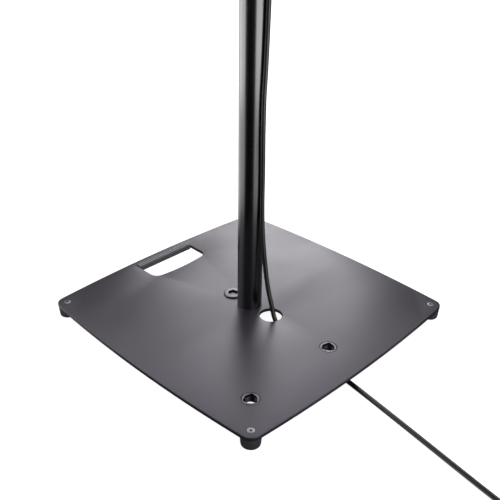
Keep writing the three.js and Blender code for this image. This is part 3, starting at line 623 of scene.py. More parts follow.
def settle(piece, body, finish, replaces=(), place=(0, 0, 0), sharp=32):
    """Shades a piece, gives it its finish, stands it at its place in millimetres and fixes it."""
    if piece.type == "MESH":
        piece.data.shade_smooth()
        piece.data.set_sharp_from_angle(angle=math.radians(sharp))
    piece.data.materials.clear()
    piece.data.materials.append(FINISHES[finish])
    piece.location = Vector(place) * MM
    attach(piece, body)
    if replaces:
        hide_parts(*replaces)
    return piece


def make_piece(name, shape, body, finish, replaces=(), place=(0, 0, 0), sharp=32):
    return settle(make_object(name, shape), body, finish, replaces, place, sharp)


# %% [markdown]
# ## The lead
#
# The lead hangs from its connector on the pole, bows a little, goes through the hole in the
# base, bends flat under it and runs out over the floor. A cord is a fixed length, here three
# metres, so what the photograph doesn't show is wound into a tied coil out of view. One curve
# with a round bevel makes the whole of it.

# %% Where the lead runs
POLE_RADIUS = 19.0
LEAD_RADIUS = 3.5
FLOOR_LIFT = 0.15
CONNECTOR_RADIUS = 12.4
STRAP_SIDE = 12
HANG_HEIGHT = 790.05
LEAD_ON_FLOOR = LEAD_RADIUS + FLOOR_LIFT

COIL_INNER = 33.1
COIL_PITCH = 7.5
COIL_TURNS = 2.9
COIL_OUTER = COIL_INNER + COIL_PITCH * COIL_TURNS
COIL_DIP = 1.6
COIL_HEIGHT = 5.3
COIL_ENTRY = (516.0, -76.3)
COIL_HEADING = math.radians(-10)
TAIL_LENGTH = 42.0
TAIL_BEND = 70.0


def beside_pole(distance, drop):
    """A point at the straps' side of the pole, that far below the connector."""
    side = math.radians(STRAP_SIDE)
    return distance * math.cos(side), distance * math.sin(side), HANG_HEIGHT - drop


def against_pole(angle, height):
    """A point where the lead lies against the pole, at that angle in degrees."""
    distance, side = POLE_RADIUS + 0.3 + LEAD_RADIUS, math.radians(angle)
    return distance * math.cos(side), distance * math.sin(side), height


HANG_PLACE = beside_pole(POLE_RADIUS + 0.3 + CONNECTOR_RADIUS, 0)[:2]
LEAD_PLACE = against_pole(STRAP_SIDE, 0)[:2]


def towards_coil(distance):
    x, y = COIL_ENTRY
    return x + distance * math.cos(COIL_HEADING), y + distance * math.sin(COIL_HEADING), COIL_HEIGHT


LEAD_ROUTE = [
    (*HANG_PLACE, HANG_HEIGHT),
    (*HANG_PLACE, HANG_HEIGHT - 22),
    beside_pole(30.9, 42),
    beside_pole(27.5, 72),
    beside_pole(24.1, 102),
    against_pole(STRAP_SIDE, 655),
    against_pole(STRAP_SIDE, 600),
    against_pole(11.2, 545),
    against_pole(9.5, 485),
    against_pole(4.6, 425),
    against_pole(1.1, 394),
    against_pole(-3.3, 362),
    against_pole(-4.3, 329),
    against_pole(-3.5, 294),
    against_pole(-1.9, 258),
    against_pole(-1.3, 224),
    (23.4, -0.9, 198),
    (25.8, -1.4, 160),
    (29.8, -1.3, 124),
    (35.2, -1.1, 88),
    (40.6, -1.0, 63),
    (46.6, -1.0, 44),
    (51.6, -1.1, 28.6),
    (55.2, -1.5, 20.9),
    (61.9, -2.3, 12.6),
    (71.8, -3.1, 6.4),
    (84.5, -4.0, LEAD_ON_FLOOR + 0.35),
    (105, -6.9, LEAD_ON_FLOOR),
    (150, -12.8, LEAD_ON_FLOOR),
    (223, -23.4, LEAD_ON_FLOOR),
    (314, -39.2, LEAD_ON_FLOOR),
    (400, -55, LEAD_ON_FLOOR),
    (455, -65.2, LEAD_ON_FLOOR + 0.4),
    towards_coil(-15),
    towards_coil(-0.3),
]


# %% [markdown]
# The route's points are joined by a centripetal Catmull-Rom curve: it passes through each point
# and, unlike the plain kind, doesn't overshoot where points lie close together.


# %% A smooth line through the route
def smooth_line(points, steps):
    """Points on a centripetal Catmull-Rom curve, with that many steps between two of its points."""
    points = [Vector(p) for p in points]
    padded = [2 * points[0] - points[1], *points, 2 * points[-1] - points[-2]]
    line = [points[0]]
    for i in range(len(points) - 1):
        a, b, c, d = padded[i : i + 4]
        before, span, after = ((q - p).length ** 0.5 for p, q in ((a, b), (b, c), (c, d)))
        start = ((b - a) / before - (c - a) / (before + span) + (c - b) / span) * span
        end = ((c - b) / span - (d - b) / (span + after) + (d - c) / after) * span
        for step in range(1, steps + 1):
            t = step / steps
            cubic = (2 * b - 2 * c + start + end) * t**3 + (3 * c - 3 * b - 2 * start - end) * t**2
            line.append(b + start * t + cubic)
    return line


def coil_axis():
    x, y, _ = towards_coil(2 * LEAD_RADIUS)
    return x - math.sin(COIL_HEADING) * COIL_OUTER, y + math.cos(COIL_HEADING) * COIL_OUTER


def coil_line(steps_per_turn):
    """A spiral in, half a turn that climbs on top of it, and a spiral out again."""
    x, y = coil_axis()
    total = 2 * COIL_TURNS + 0.5
    steps = round(total * steps_per_turn)
    line = []
    for i in range(steps + 1):
        turns = total * i / steps
        climb = min(max((turns - COIL_TURNS) / 0.5, 0), 1)
        inward = min(turns / COIL_TURNS, 1)
        outward = max((turns - COIL_TURNS - 0.5) / COIL_TURNS, 0)
        radius = COIL_OUTER - (COIL_OUTER - COIL_INNER) * (inward - outward)
        radius -= COIL_DIP * math.sin(math.pi * climb)
        angle = COIL_HEADING - math.pi / 2 + 2 * math.pi * turns
        rise = COIL_PITCH * climb * climb * (3 - 2 * climb)
        line.append(Vector((x + radius * math.cos(angle), y + radius * math.sin(angle), COIL_HEIGHT + rise)))
    return line


def tail_line(start, steps):
    """The free end bends away from the coil, to lay the connector clear of it."""
    direction = COIL_HEADING + 2 * math.pi * (2 * COIL_TURNS + 0.5)
    line, spot = [], start
    for i in range(1, steps + 1):
        heading = direction - (i - 0.5) * TAIL_LENGTH / steps / TAIL_BEND
        spot = spot + Vector((math.cos(heading), math.sin(heading), 0)) * (TAIL_LENGTH / steps)
        share = i / steps
        spot.z = start.z * (1 - share) + (CONNECTOR_RADIUS + FLOOR_LIFT) * share
        line.append(spot.copy())
    return line


# %% The lead as one curve
def lead_points():
    line = smooth_line(LEAD_ROUTE, 8)
    turns = coil_line(48)
    return line + [Vector(towards_coil(0))] + turns + tail_line(turns[-1], 12)


def make_lead(points):
    curve = bpy.data.curves.new("speaker_lead", "CURVE")
    curve.dimensions = "3D"
    curve.bevel_depth = LEAD_RADIUS * MM
    curve.bevel_resolution = 5
    curve.use_fill_caps = True
    spline = curve.splines.new("POLY")
    spline.points.add(len(points) - 1)
    for knot, point in zip(spline.points, points):
        knot.co = (*(point * MM), 1)
    spline.use_smooth = True
    return settle(in_scene("speaker_lead", curve), "base", "cable_jacket", ["cable", "cable_coil"])


LEAD = lead_points()
lead = make_lead(LEAD)

# %% [markdown]
# ## The lead's connectors
#
# Each end has a locking speaker connector: a clamping nut with flutes and a short bend relief,
# a shell with grip rings and a thumb latch, and a coloured nose with a core inside. All are
# turned shapes on one axis. They are built once and placed twice, on the pole and on the floor.


# %% Connector shapes
def flutes(radius, depth, count):
    """A round outline with that many shallow hollows."""
    return lambda angle: radius - depth * (0.5 + 0.5 * math.cos(count * angle)) ** 2


def connector_nut():
    rows = [(0, 8), (3.8, 8), (3.8, 0.0), (5.2, 0.0), (5.6, 0.4), (5.9, 1.4), (5.5, 1.6), (5.5, 2.2)]
    rows += [(6.2, 2.5), (6.4, 3.4), (6.0, 3.6), (6.0, 4.2), (6.7, 4.5), (6.9, 6.2), (7.4, 7.6), (8.6, 8.8)]
    rows += [(9.7, 9.4), (10.2, 10.0), (flutes(10.5, 0.0, 14), 10.8), (flutes(10.5, 0.8, 14), 11.6)]
    rows += [(flutes(10.5, 0.8, 14), 18.4), (flutes(10.5, 0.0, 14), 19.3), (10.1, 20.0), (0, 20.0)]
    return turned(rows, 112)


def connector_shell():
    start, end = 20.05, 54.05
    rows = [(0, start), (10.8, start), (11.9, start + 0.6), (12.4, start + 1.8), (12.4, start + 5)]
    for ring in range(4):
        low = start + 6 + ring * 2.2
        rows += [(12.4, low), (11.8, low + 0.3), (11.8, low + 0.9), (12.4, low + 1.2)]
    rows += [(12.4, end - 14), (12.1, end - 12), (12.1, end - 4), (12.4, end - 3), (12.4, end - 0.8)]
    rows += [(12.0, end), (0, end)]
    return turned(rows, 96)


def connector_nose():
    start, end = 54.1, 69.1
    rim = lambda radius: (lambda a: radius - (1.2 if abs(math.sin(a)) < 0.13 else 0.0))
    rows = [(0, start), (10.6, start), (11, start + 0.4), (11, start + 3), (rim(11), start + 3.2)]
    rows += [(rim(11), end - 1.0), (rim(10.6), end - 0.3), (10.2 - 1.2, end), (8.4, end), (8.0, end - 0.5)]
    rows += [(8.0, end - 10), (5.4, end - 10), (5.4, end - 3.2), (5.0, end - 2.6), (2.2, end - 2.6)]
    rows += [(1.9, end - 3.0), (1.9, end - 7), (0, end - 7)]
    return turned(rows, 96)


def thumb_latch():
    """A small ridged slide on the shell, towards +Y of the connector."""
    half_width, low, high = 3.4, 46.2, 52.6
    corners = []
    rows = 15
    for j in range(rows + 1):
        z = low + (high - low) * j / rows
        rise = 1.5 * math.sin(math.pi * j / rows) ** 0.35 if 0 < j < rows else 0.0
        rise -= 0.35 * (j % 3 == 1 and 2 < j < rows - 2)
        for x in (-half_width, -half_width + 0.6, 0, half_width - 0.6, half_width):
            edge = abs(x) > half_width - 0.1
            y = math.sqrt(12.2**2 - x * x) + (0.0 if edge else rise)
            corners.append((x, y, z))
        corners.append((0, 10.5, z))
    return corners, capped_skin(rows + 1, 6)


def make_connector(prefix, place, turn=None):
    parts = (
        ("nut", connector_nut(), "connector_plastic"),
        ("shell", connector_shell(), "connector_plastic"),
        ("nose", connector_nose(), "connector_insert"),
    )
    made = []
    for part, shape, finish in parts:
        name = f"{prefix}_{part}"
        made.append(make_piece(f"{name}_fine", moved(shape, turn=turn), "base", finish, [name], place))
    latch = moved(thumb_latch(), turn=turn)
    made.append(make_piece(f"{prefix}_latch", latch, "base", "connector_insert", (), place))
    return made


# %% Both connectors in place
def lying_turn():
    """Turns +Z to the way in which the lead's end points, with the latch on top."""
    ahead = (LEAD[-1] - LEAD[-2]).normalized()
    ahead.z = 0
    ahead.normalize()
    up = Vector((0, 0, 1))
    return Matrix((up.cross(ahead), up, ahead)).transposed()


side_turn = Matrix.Rotation(math.radians(STRAP_SIDE - 90), 3, "Z")
hanging = make_connector("pole_connector", (*HANG_PLACE, HANG_HEIGHT + 0.05), side_turn)
floor_turn = lying_turn()
floor_place = LEAD[-1] + floor_turn.col[2] * 0.05
lying = make_connector("floor_connector", tuple(floor_place), floor_turn)
print("connector lies at, mm:", [round(v, 1) for v in floor_place])

# %% [markdown]
# ## Straps and the coil's tie
#
# Two straps hold the lead and its connector against the pole, and a third keeps the coil
# together. A strap is a rounded section swept round a closed path. Its loose end lies on top of
# its start, which we make as a second, open sweep. A map in metres lets the weave follow it.


# %% Belts along a path
def belt(path, width, thickness, lift=0.0, closed=True):
    """A band outside a flat path, and the map of its weave along and across."""
    half, soft = width / 2, min(0.35, thickness / 3)
    section = eased([
        (lift, -half, soft),
        (lift + thickness, -half, soft),
        (lift + thickness, half, soft),
        (lift, half, soft),
    ], 2)
    count, corners, faces, along = len(path), [], [], [0.0]
    for i, spot in enumerate(path):
        before = path[i - 1] if closed or i else spot
        after = path[(i + 1) % count] if closed or i + 1 < count else spot
        way = (Vector(after) - Vector(before)).normalized()
        corners += [(spot[0] + way.y * out, spot[1] - way.x * out, z) for out, z in section]
        along.append(along[-1] + (Vector(after) - Vector(spot)).length)
    ring = len(section)
    tape = []
    for i in range(count if closed else count - 1):
        for k in range(ring):
            n, following = (k + 1) % ring, (i + 1) % count
            faces.append((i * ring + k, i * ring + n, following * ring + n, following * ring + k))
            low, high = section[k][1], section[n][1]
            tape.append([(along[i], low), (along[i], high), (along[i + 1], high), (along[i + 1], low)])
    if not closed:
        for end in (0, (count - 1) * ring):
            faces.append(tuple(range(end, end + ring)))
            tape.append([(0.0, 0.0)] * ring)
    return corners, faces, tape


def make_belt(name, bands, turn, place, replaces=()):
    """One object from several bands, each with its map of the weave."""
    corners, faces = moved(together(*[(band[0], band[1]) for band in bands]), turn=turn)
    mesh = bpy.data.meshes.new(name)
    mesh.from_pydata([Vector(c) * MM for c in corners], [], faces)
    tape = [spot for band in bands for face in band[2] for spot in face]
    layer = mesh.uv_layers.new(name="tape")
    for loop, (along, across) in zip(layer.data, tape):
        loop.uv = (along * MM, across * MM)
    work = bmesh.new()
    work.from_mesh(mesh)
    bmesh.ops.recalc_face_normals(work, faces=work.faces)
    work.to_mesh(mesh)
    work.free()
    return settle(in_scene(name, mesh), "base", "strap_fabric", replaces, place, 40)


def around_two(radius_a, radius_b, distance):
    """The path of a band pulled tight round two discs, the first at the origin."""
    lean = math.acos((radius_a - radius_b) / distance)
    path = []
    for i in range(49):
        angle = lean + (2 * math.pi - 2 * lean) * i / 48
        path.append((radius_a * math.cos(angle), radius_a * math.sin(angle)))
    for i in range(25):
        angle = -lean + 2 * lean * i / 24
        path.append((distance + radius_b * math.cos(angle), radius_b * math.sin(angle)))
    return path


# %% Straps on the pole
def make_strap(name, held_radius, held_place, height):
    gap = 0.3
    distance = math.hypot(*held_place)
    path = around_two(POLE_RADIUS + gap, held_radius + gap, distance)
    bands = [belt(path, 16, 1.6), belt(path[6:34], 15.4, 1.2, lift=1.7, closed=False)]
    turn = Matrix.Rotation(math.atan2(held_place[1], held_place[0]), 3, "Z")
    return make_belt(name, bands, turn, (0, 0, height), [name.replace("_fine", "")])


make_strap("cable_strap_fine", LEAD_RADIUS, LEAD_PLACE, 600)
make_strap("connector_strap_fine", CONNECTOR_RADIUS, HANG_PLACE, 827.05)


# %% The tie round the coil
TIE_ANGLE = math.radians(310)


def make_coil_tie():
    half = LEAD_RADIUS + COIL_PITCH / 2 + 0.3
    low, high = COIL_INNER - LEAD_RADIUS - 4 + half, COIL_OUTER - 1
    path = []
    for middle, start in ((high, -90), (low, 90)):
        for i in range(17):
            angle = math.radians(start + 180 * i / 16)
            path.append((middle + half * math.cos(angle), half * math.sin(angle)))
    upright = Matrix.Rotation(TIE_ANGLE, 3, "Z") @ Matrix.Rotation(math.radians(90), 3, "X")
    flap = [path[(i + 8) % len(path)] for i in range(16)]
    bands = [belt(path, 14, 1.2), belt(flap, 13.4, 1.0, lift=1.25, closed=False)]
    place = (*coil_axis(), COIL_HEIGHT + COIL_PITCH / 2)
    return make_belt("coil_tie_fine", bands, upright, place, ["coil_tie"])


coil_tie = make_coil_tie()

# %% [markdown]

# %% [markdown]
# ## The base plate
#
# The base is one sheet of steel. Each side bows out a little between round corners, and the
# edges are softly rounded under the coat. We lay out every outline, raise walls along them, and
# let Blender fill the top and the underside between the outlines.


# %% Outlines of the plate
PLATE_BOTTOM, PLATE_TOP = 16.5, 22.0
PLATE_EDGE = 0.8
PLATE_HALF, SIDE_BOW, CORNER_RADIUS = 225.0, 9.6, 16.0
SOCKETS = {"centre": (0, 0), "spare": (-37, 0), "side": (160, 0), "corner": (160, -160)}
CABLE_HOLE = (46, 0, 17.5)
FLANGE_SEAT, SCREW_SEAT = 12.9, 5.3
FOOT_PLACE = 201.7
FEET = {"front": (1, -1), "right": (1, 1), "back": (-1, 1), "left": (-1, -1)}


def arc(x, y, radius, start, end, steps):
    angles = [start + (end - start) * i / steps for i in range(steps + 1)]
    return [(x + radius * math.cos(a), y + radius * math.sin(a)) for a in angles]


def circle(x, y, radius, steps):
    return arc(x, y, radius, 0, 2 * math.pi, steps)[:-1]


def plate_outline():
    half = PLATE_HALF - SIDE_BOW
    side = (half**2 + SIDE_BOW**2) / (2 * SIDE_BOW)
    centre = PLATE_HALF - side
    corner = (centre + math.sqrt(2 * (side - CORNER_RADIUS) ** 2 - centre**2)) / 2
    swing = math.atan2(corner, corner - centre)
    quarter = arc(centre, 0, side, -swing, swing, 40)[:-1]
    quarter += arc(corner, corner, CORNER_RADIUS, swing, math.pi / 2 - swing, 16)[:-1]
    outline = []
    for turn in range(4):
        c, s = math.cos(turn * math.pi / 2), math.sin(turn * math.pi / 2)
        outline += [(c * x - s * y, s * x + c * y) for x, y in quarter]
    return outline


def slot_outline():
    """The carry slot: its inner edge is bowed, and its ends have round corners."""
    bow, half, inner, outer, corner = 4.7, 56.0, -158.3, -205.3, 14.0
    edge = (half**2 + bow**2) / (2 * bow)
    centre = inner - edge
    inner_y = half - corner
    swing = math.asin(inner_y / (edge - corner))
    inner_x = centre + (edge - corner) * math.cos(swing)
    quarter = math.pi / 2
    outline = arc(centre, 0, edge, -swing, swing, 16)[:-1]
    outline += arc(inner_x, inner_y, corner, swing, quarter, 12)
    outline += arc(outer + 3, half - 3, 3, quarter, 2 * quarter, 6)
    outline += arc(outer + 3, 3 - half, 3, 2 * quarter, 3 * quarter, 6)
    outline += arc(inner_x, -inner_y, corner, 3 * quarter, 4 * quarter - swing, 12)[:-1]
    return outline


# %% Walls and fill
def offset(outline, distance):
    """Moves each point of a counter-clockwise outline inwards by that distance."""
    result = []
    for i, spot in enumerate(outline):
        way = Vector(outline[(i + 1) % len(outline)]) - Vector(outline[i - 1])
        way.normalize()
        result.append((spot[0] - way.y * distance, spot[1] + way.x * distance))
    return result


def raise_wall(work, outline, rows):
    """Stacks an outline by rows of (inset, height). Gives the edges of its first and last row."""
    rings = []
    for inset, height in rows:
        spots = offset(outline, inset) if inset else outline
        rings.append([work.verts.new(Vector((x, y, height)) * MM) for x, y in spots])
    for low, high in zip(rings, rings[1:]):
        for k in range(len(outline)):
            n = (k + 1) % len(outline)
            work.faces.new((low[k], low[n], high[n], high[k]))
    ends = []
    for ring in (rings[0], rings[-1]):
        ends.append([work.edges.get((ring[k], ring[(k + 1) % len(ring)])) for k in range(len(ring))])
    return ends


def edge_rows(side):
    """Rows of a wall with both edges rounded. Side is 1 for the rim and -1 for a hole."""
    rows = []
    for i in range(5):
        angle = math.pi / 2 * i / 4
        inset = side * PLATE_EDGE * (1 - math.sin(angle))
        rows.append((inset, PLATE_BOTTOM + PLATE_EDGE * (1 - math.cos(angle))))
    return rows + [(inset, PLATE_BOTTOM + PLATE_TOP - height) for inset, height in reversed(rows)]


def make_base_plate():
    work = bmesh.new()
    walls = [raise_wall(work, plate_outline(), edge_rows(1))]
    walls.append(raise_wall(work, slot_outline(), edge_rows(-1)))
    walls.append(raise_wall(work, circle(*CABLE_HOLE, 72), edge_rows(-1)))
    for x, y in SOCKETS.values():
        seat = PLATE_TOP - 2.15
        rows = [(1.6, PLATE_BOTTOM), (1.6, seat), (0, seat), (0, PLATE_TOP - 0.2), (-0.2, PLATE_TOP)]
        walls.append(raise_wall(work, circle(x, y, FLANGE_SEAT, 72), rows))
    for right, away in FEET.values():
        rows = [(2.5, PLATE_BOTTOM), (2.5, PLATE_TOP - 2.9), (0, PLATE_TOP - 0.2), (-0.15, PLATE_TOP)]
        hole = circle(right * FOOT_PLACE, away * FOOT_PLACE, SCREW_SEAT, 36)
        walls.append(raise_wall(work, hole, rows))
    for level, upwards in ((0, -1), (1, 1)):
        edges = [edge for wall in walls for edge in wall[level]]
        bmesh.ops.triangle_fill(work, use_beauty=True, edges=edges, normal=(0, 0, upwards))
    bmesh.ops.recalc_face_normals(work, faces=work.faces)
    mesh = bpy.data.meshes.new("base_plate_fine")
    work.to_mesh(mesh)
    work.free()
    print("plate faces:", len(mesh.polygons))
    return settle(in_scene("base_plate_fine", mesh), "base", "powder_coat", ["base_plate"])


make_base_plate()

# %% [markdown]
# ## Sockets and the blanking plug
#
# Three flanged sockets and one under the plug are pressed into the plate, each with a thread
# for a pole. Three notches round the mouth take the tool that fits them. The thread is a real
# helix: the radius rises and falls with height and angle together.


# %% Open sockets
THREAD_PITCH = 2.5
BORE_RADIUS = 8.65
NOTCH_PLACE, NOTCH_RADIUS, NOTCH_COUNT, NOTCH_TURN = 6.9, 3.4, 3, 5
THREAD_DEPTH = 1.1


def notched_mouth(radius):
    """The mouth's outline: a bore with three round notches that reach out of it."""

    def reach(angle):
        best = radius
        for k in range(NOTCH_COUNT):
            notch = math.radians(NOTCH_TURN + 360 / NOTCH_COUNT * k)
            away = (angle - notch + math.pi) % (2 * math.pi) - math.pi
            inside = NOTCH_RADIUS**2 - (NOTCH_PLACE * math.sin(away)) ** 2
            if inside > 0 and abs(away) < math.pi / 2:
                best = max(best, NOTCH_PLACE * math.cos(away) + math.sqrt(inside) + radius - BORE_RADIUS)
        return best

    return reach


def thread_reach(height):
    def reach(angle):
        phase = (height / THREAD_PITCH - angle / (2 * math.pi)) % 1
        return BORE_RADIUS + THREAD_DEPTH * max(0.0, 1 - abs(phase - 0.5) * 2.6)

    return reach


def socket_shape():
    rows = [(BORE_RADIUS + 0.9, -13.5), (10.5, -13.5), (11, -13.0), (11, -2.1), (12.5, -2.1), (12.6, -2.0)]
    rows += [(12.6, -0.95), (12.45, -0.55), (12.1, -0.17), (11.7, 0), (notched_mouth(9.05), 0)]
    rows += [(notched_mouth(8.8), -0.12), (notched_mouth(8.68), -0.35), (notched_mouth(8.65), -3.5)]
    depth = -3.5
    while depth > -13.2:
        rows.append((thread_reach(depth), depth))
        depth -= 0.25
    return turned(rows, 144, closed=True)


for name in ("centre", "spare", "side", "corner"):
    make_piece(f"socket_{name}_fine", socket_shape(), "base", "socket_steel", [f"socket_{name}"],
               (*SOCKETS[name], PLATE_TOP), 28)


# %% Blanking plug
PLUG_KEY, PLUG_KEY_TURN, PLUG_KEY_FLOOR = 14, 14, -0.9


def plug_shape():
    key = hexagon_reach(PLUG_KEY, PLUG_KEY_TURN)
    wide_key = hexagon_reach(PLUG_KEY + 0.8, PLUG_KEY_TURN)
    rows = [(0, -9), (7.35, -9), (8.35, -8), (8.35, 0.05), (14.6, 0.05), (14.75, 0.2), (14.75, 0.8)]
    rows += [(14.55, 1.2), (13.7, 2.05), (13.4, 2.2), (13.0, 2.3), (wide_key, 2.3), (key, 1.95)]
    rows += [(key, PLUG_KEY_FLOOR), (0, PLUG_KEY_FLOOR)]
    return turned(rows, 144)


plug_place = (*SOCKETS["spare"], PLATE_TOP)
make_piece("blanking_plug_fine", plug_shape(), "base", "plug_metal", ["blanking_plug"], plug_place, 28)

# %% [markdown]
# ## The handle grip
#
# A moulded channel is clipped over the strip of steel between the carry slot and the rim, so
# that the edge doesn't cut into the hand. It is ribbed across its top. We sweep the channel's
# section along the slot and let the top rise and fall with each rib.


# %% Ribbed grip
GRIP_HALF = 55.7
RIB_PITCH = 4.5
RIB_COUNT, RIB_RISE, RIB_HALF = 24, 1.0, 1.25
GRIP_FLANGE, GRIP_TOP = 1.3, 12.0


def rib_height(y):
    """How far the grip's top rises there: rounded ribs with flat gaps between them."""
    place = y / RIB_PITCH + (RIB_COUNT - 1) / 2
    nearest = round(place)
    if not 0 <= nearest < RIB_COUNT:
        return 0.0
    away = abs(place - nearest) * RIB_PITCH
    return RIB_RISE * math.sqrt(max(0.0, 1 - (away / RIB_HALF) ** 2))


def grip_section(inset):
    """The channel in X and Z, with the share of the rib's height that each corner takes."""
    inner, wall = -202.9, -205.0
    low, high = PLATE_BOTTOM - 0.3 - GRIP_FLANGE + inset, PLATE_TOP + 0.05 + GRIP_FLANGE - inset
    outer = inner - GRIP_TOP
    return [
        (inner - inset, low + 0.4, 0), (inner - inset, high - 0.8, 0), (inner - 0.15 - inset, high - 0.3, 0),
        (inner - 0.5, high, 0), (inner - 1.0, high, 0), (inner - 1.4, high, 0.9), (inner - 4, high, 1),
        (inner - 7, high, 1), (outer + 2, high, 1), (outer + 1.3, high, 0.9), (outer + 1, high, 0),
        (outer + 0.5, high, 0), (outer + 0.1, high - 0.35, 0), (outer, high - 0.9, 0),
        (outer, PLATE_TOP + 0.05, 0), (wall, PLATE_TOP + 0.05, 0), (wall, PLATE_BOTTOM - 0.3, 0),
        (inner - 11, PLATE_BOTTOM - 0.3, 0), (inner - 11, low + 0.3, 0), (inner - 10.7, low, 0),
        (inner - 0.4, low, 0),
    ]


def make_handle_grip():
    stops = [(-GRIP_HALF, 0.5), (-GRIP_HALF + 0.15, 0.2), (-GRIP_HALF + 0.5, 0.0)]
    steps = 8
    first = -RIB_COUNT / 2 * RIB_PITCH
    for i in range(RIB_COUNT * steps + 1):
        stops.append((first + i * RIB_PITCH / steps, 0.0))
    stops += [(-y, inset) for y, inset in reversed(stops[:3])]
    corners = []
    for y, inset in stops:
        lift = rib_height(y)
        corners += [(x, y, z + share * lift) for x, z, share in grip_section(inset)]
    faces = capped_skin(len(stops), len(grip_section(0)))
    make_piece("handle_grip_fine", (corners, faces), "base", "grip_plastic", ["handle_grip"], sharp=35)


make_handle_grip()

# %% [markdown]
# ## Feet and their screws
#
# Four rubber feet stand under the corners. Each is held by a countersunk screw from above, with
# a washer and a nut in a pocket underneath. The foot tapers downwards and rolls under at its
# rim, which keeps it from tearing when the base is dragged.


# %% Feet
def foot_shape():
    rows = eased([
        (6.5, 0), (10.0, 0), (12.9, 0, 2.0), (13.4, 4.2), (14, 12.5, 1.0), (14, 13.4, 0.2), (13.6, 13.7, 0.2),
        (14, 14.0, 0.2), (14, 16.45, 0.5), (2.8, 16.45), (2.8, 6.2), (6.5, 6.2),
    ])
    return turned(rows, 96, closed=True)


def foot_screw_shape():
    """A countersunk screw from its tip to its head, with a hexagonal key in the head."""
    key = hexagon_reach(3)
    rows = [(0, 0.9), (2.0, 0.9)]
    height = 1.4
    while height < 16:
        rows += [(2.5, height), (2.2, height + 0.3)]
        height += 0.6
    rows += [(2.5, 16.6), (2.5, 19.35), (4.9, 21.75), (5.0, 21.9), (4.8, 21.95), (hexagon_reach(3.3), 21.95)]
    rows += [(key, 21.8), (key, 20.2), (0, 20.0)]
    return turned(rows, 72)


for name, (right, away) in FEET.items():
    spot = (right * FOOT_PLACE, away * FOOT_PLACE, 0)
    pieces = (("foot", foot_shape(), "foot_rubber"), ("foot_screw", foot_screw_shape(), "zinc_steel"))
    for piece, shape, finish in pieces:
        make_piece(f"{piece}_{name}_fine", shape, "base", finish, [f"{piece}_{name}"], spot)

# %% [markdown]
# ## The pole
#
# Two steel tubes slide in each other. The lower one stands on the base. The upper one has the
# standard width of a speaker cabinet's socket, with a row of holes for the locking pin and a
# plastic cap. The holes are cut with a Boolean, as a drill would.

# %% Tubes
POLE_FOOT, POLE_END = 22.05, 922.05
UPPER_FOOT, UPPER_END = 250.05, 1100.05
PIN_HEIGHT = 969.4


LOWER_INNER, UPPER_INNER, UPPER_OUTER = 17.8, 16.0, 17.5
PIN_HOLES, PIN_HOLE_RADIUS, PIN_HOLE_PITCH = 9, 4.3, 60


def tube_shape(inner, outer, low, high):
    return turned(eased([
        (inner, low, 0.2), (outer, low, 0.4), (outer, high, 0.4), (inner, high, 0.2),
    ], 3), 128, closed=True)


def rod(radius, low, high, segments=48):
    return turned([(0, low), (radius, low), (radius, high), (0, high)], segments)


def make_tubes():
    lower = tube_shape(LOWER_INNER, POLE_RADIUS, POLE_FOOT, POLE_END)
    make_piece("lower_tube_fine", lower, "base", "tube_coat", ["lower_tube"])
    upper = make_object("upper_tube_fine", tube_shape(UPPER_INNER, UPPER_OUTER, UPPER_FOOT, UPPER_END))
    drill = rod(PIN_HOLE_RADIUS, -20, 20, 40)
    drills = [moved(drill, z=PIN_HEIGHT - PIN_HOLE_PITCH * i, turn=ALONG_X) for i in range(PIN_HOLES)]
    combine(upper, make_object("drills", together(*drills)), "DIFFERENCE")
    even = upper.modifiers.new("even shading", "WEIGHTED_NORMAL")
    even.keep_sharp = True
    settle(upper, "rod", "tube_coat", ["upper_tube"])


def make_end_cap():
    rows = eased([
        (0, UPPER_END - 24), (15.7, UPPER_END - 24, 0.6), (15.7, UPPER_END + 0.05),
        (UPPER_OUTER, UPPER_END + 0.05, 0.2), (UPPER_OUTER, UPPER_END + 4.05, 1.4),
        (12.5, UPPER_END + 4.05, 0.5), (12.1, UPPER_END + 3.65, 0.3),
        (11.7, UPPER_END + 4.05, 0.5), (0, UPPER_END + 4.05),
    ], 5)
    make_piece("pole_end_cap_fine", turned(rows, 96), "rod", "black_plastic", ["pole_end_cap"])


make_tubes()
make_end_cap()

# %% [markdown]
# ## The clamp
#
# A moulded collar grips the end of the lower tube and guides the upper one through a bush. A
# boss on its side takes the clamp screw, which presses a pad against the tube. The collar's
# grip flutes fade out near the boss, as a mould needs room there.

# %% Collar
COLLAR_LOW, COLLAR_HIGH = 882.05, 962.05
BOSS_HEIGHT = 942.05


def fading_flutes(radius, depth):
    """Flutes round the collar that fade out towards the boss at -Y."""

    def reach(angle):
        away = abs((angle + math.pi / 2 + math.pi) % (2 * math.pi) - math.pi)
        room = min(max((away - 0.55) / 0.35, 0), 1)
        return radius - depth * room * (0.5 - 0.5 * math.cos(36 * angle)) ** 2

    return reach


def collar_shape():
    fluted = fading_flutes(27, 0.7)
    rows = [(0, 0), (23.4, 0), (24.0, 0.3), (24.6, 1.5), (26.4, 5), (27, 6.6), (27, 9)]
    rows += [(26.4, 9.6), (26.4, 10.8), (27, 11.4), (27, 13.5), (fluted, 14.6), (fluted, 36.5)]
    rows += [(27, 37.6), (27, 43.5), (26.3, 44.1), (26.3, 45.2), (27, 45.8), (27, 73.4), (26.4, 75.2)]
    rows += [(24.6, 78.6), (24.0, 79.7), (23.4, 80), (0, 80)]
    return turned(rows, 216)


def boss_shape():
    return turned(eased([
        (0, 0), (11, 0), (11, 34.5, 0.2), (11.6, 35.1, 0.3), (11.6, 38.8, 0.9), (10.6, 40, 0.5), (0, 40),
    ]), 72)


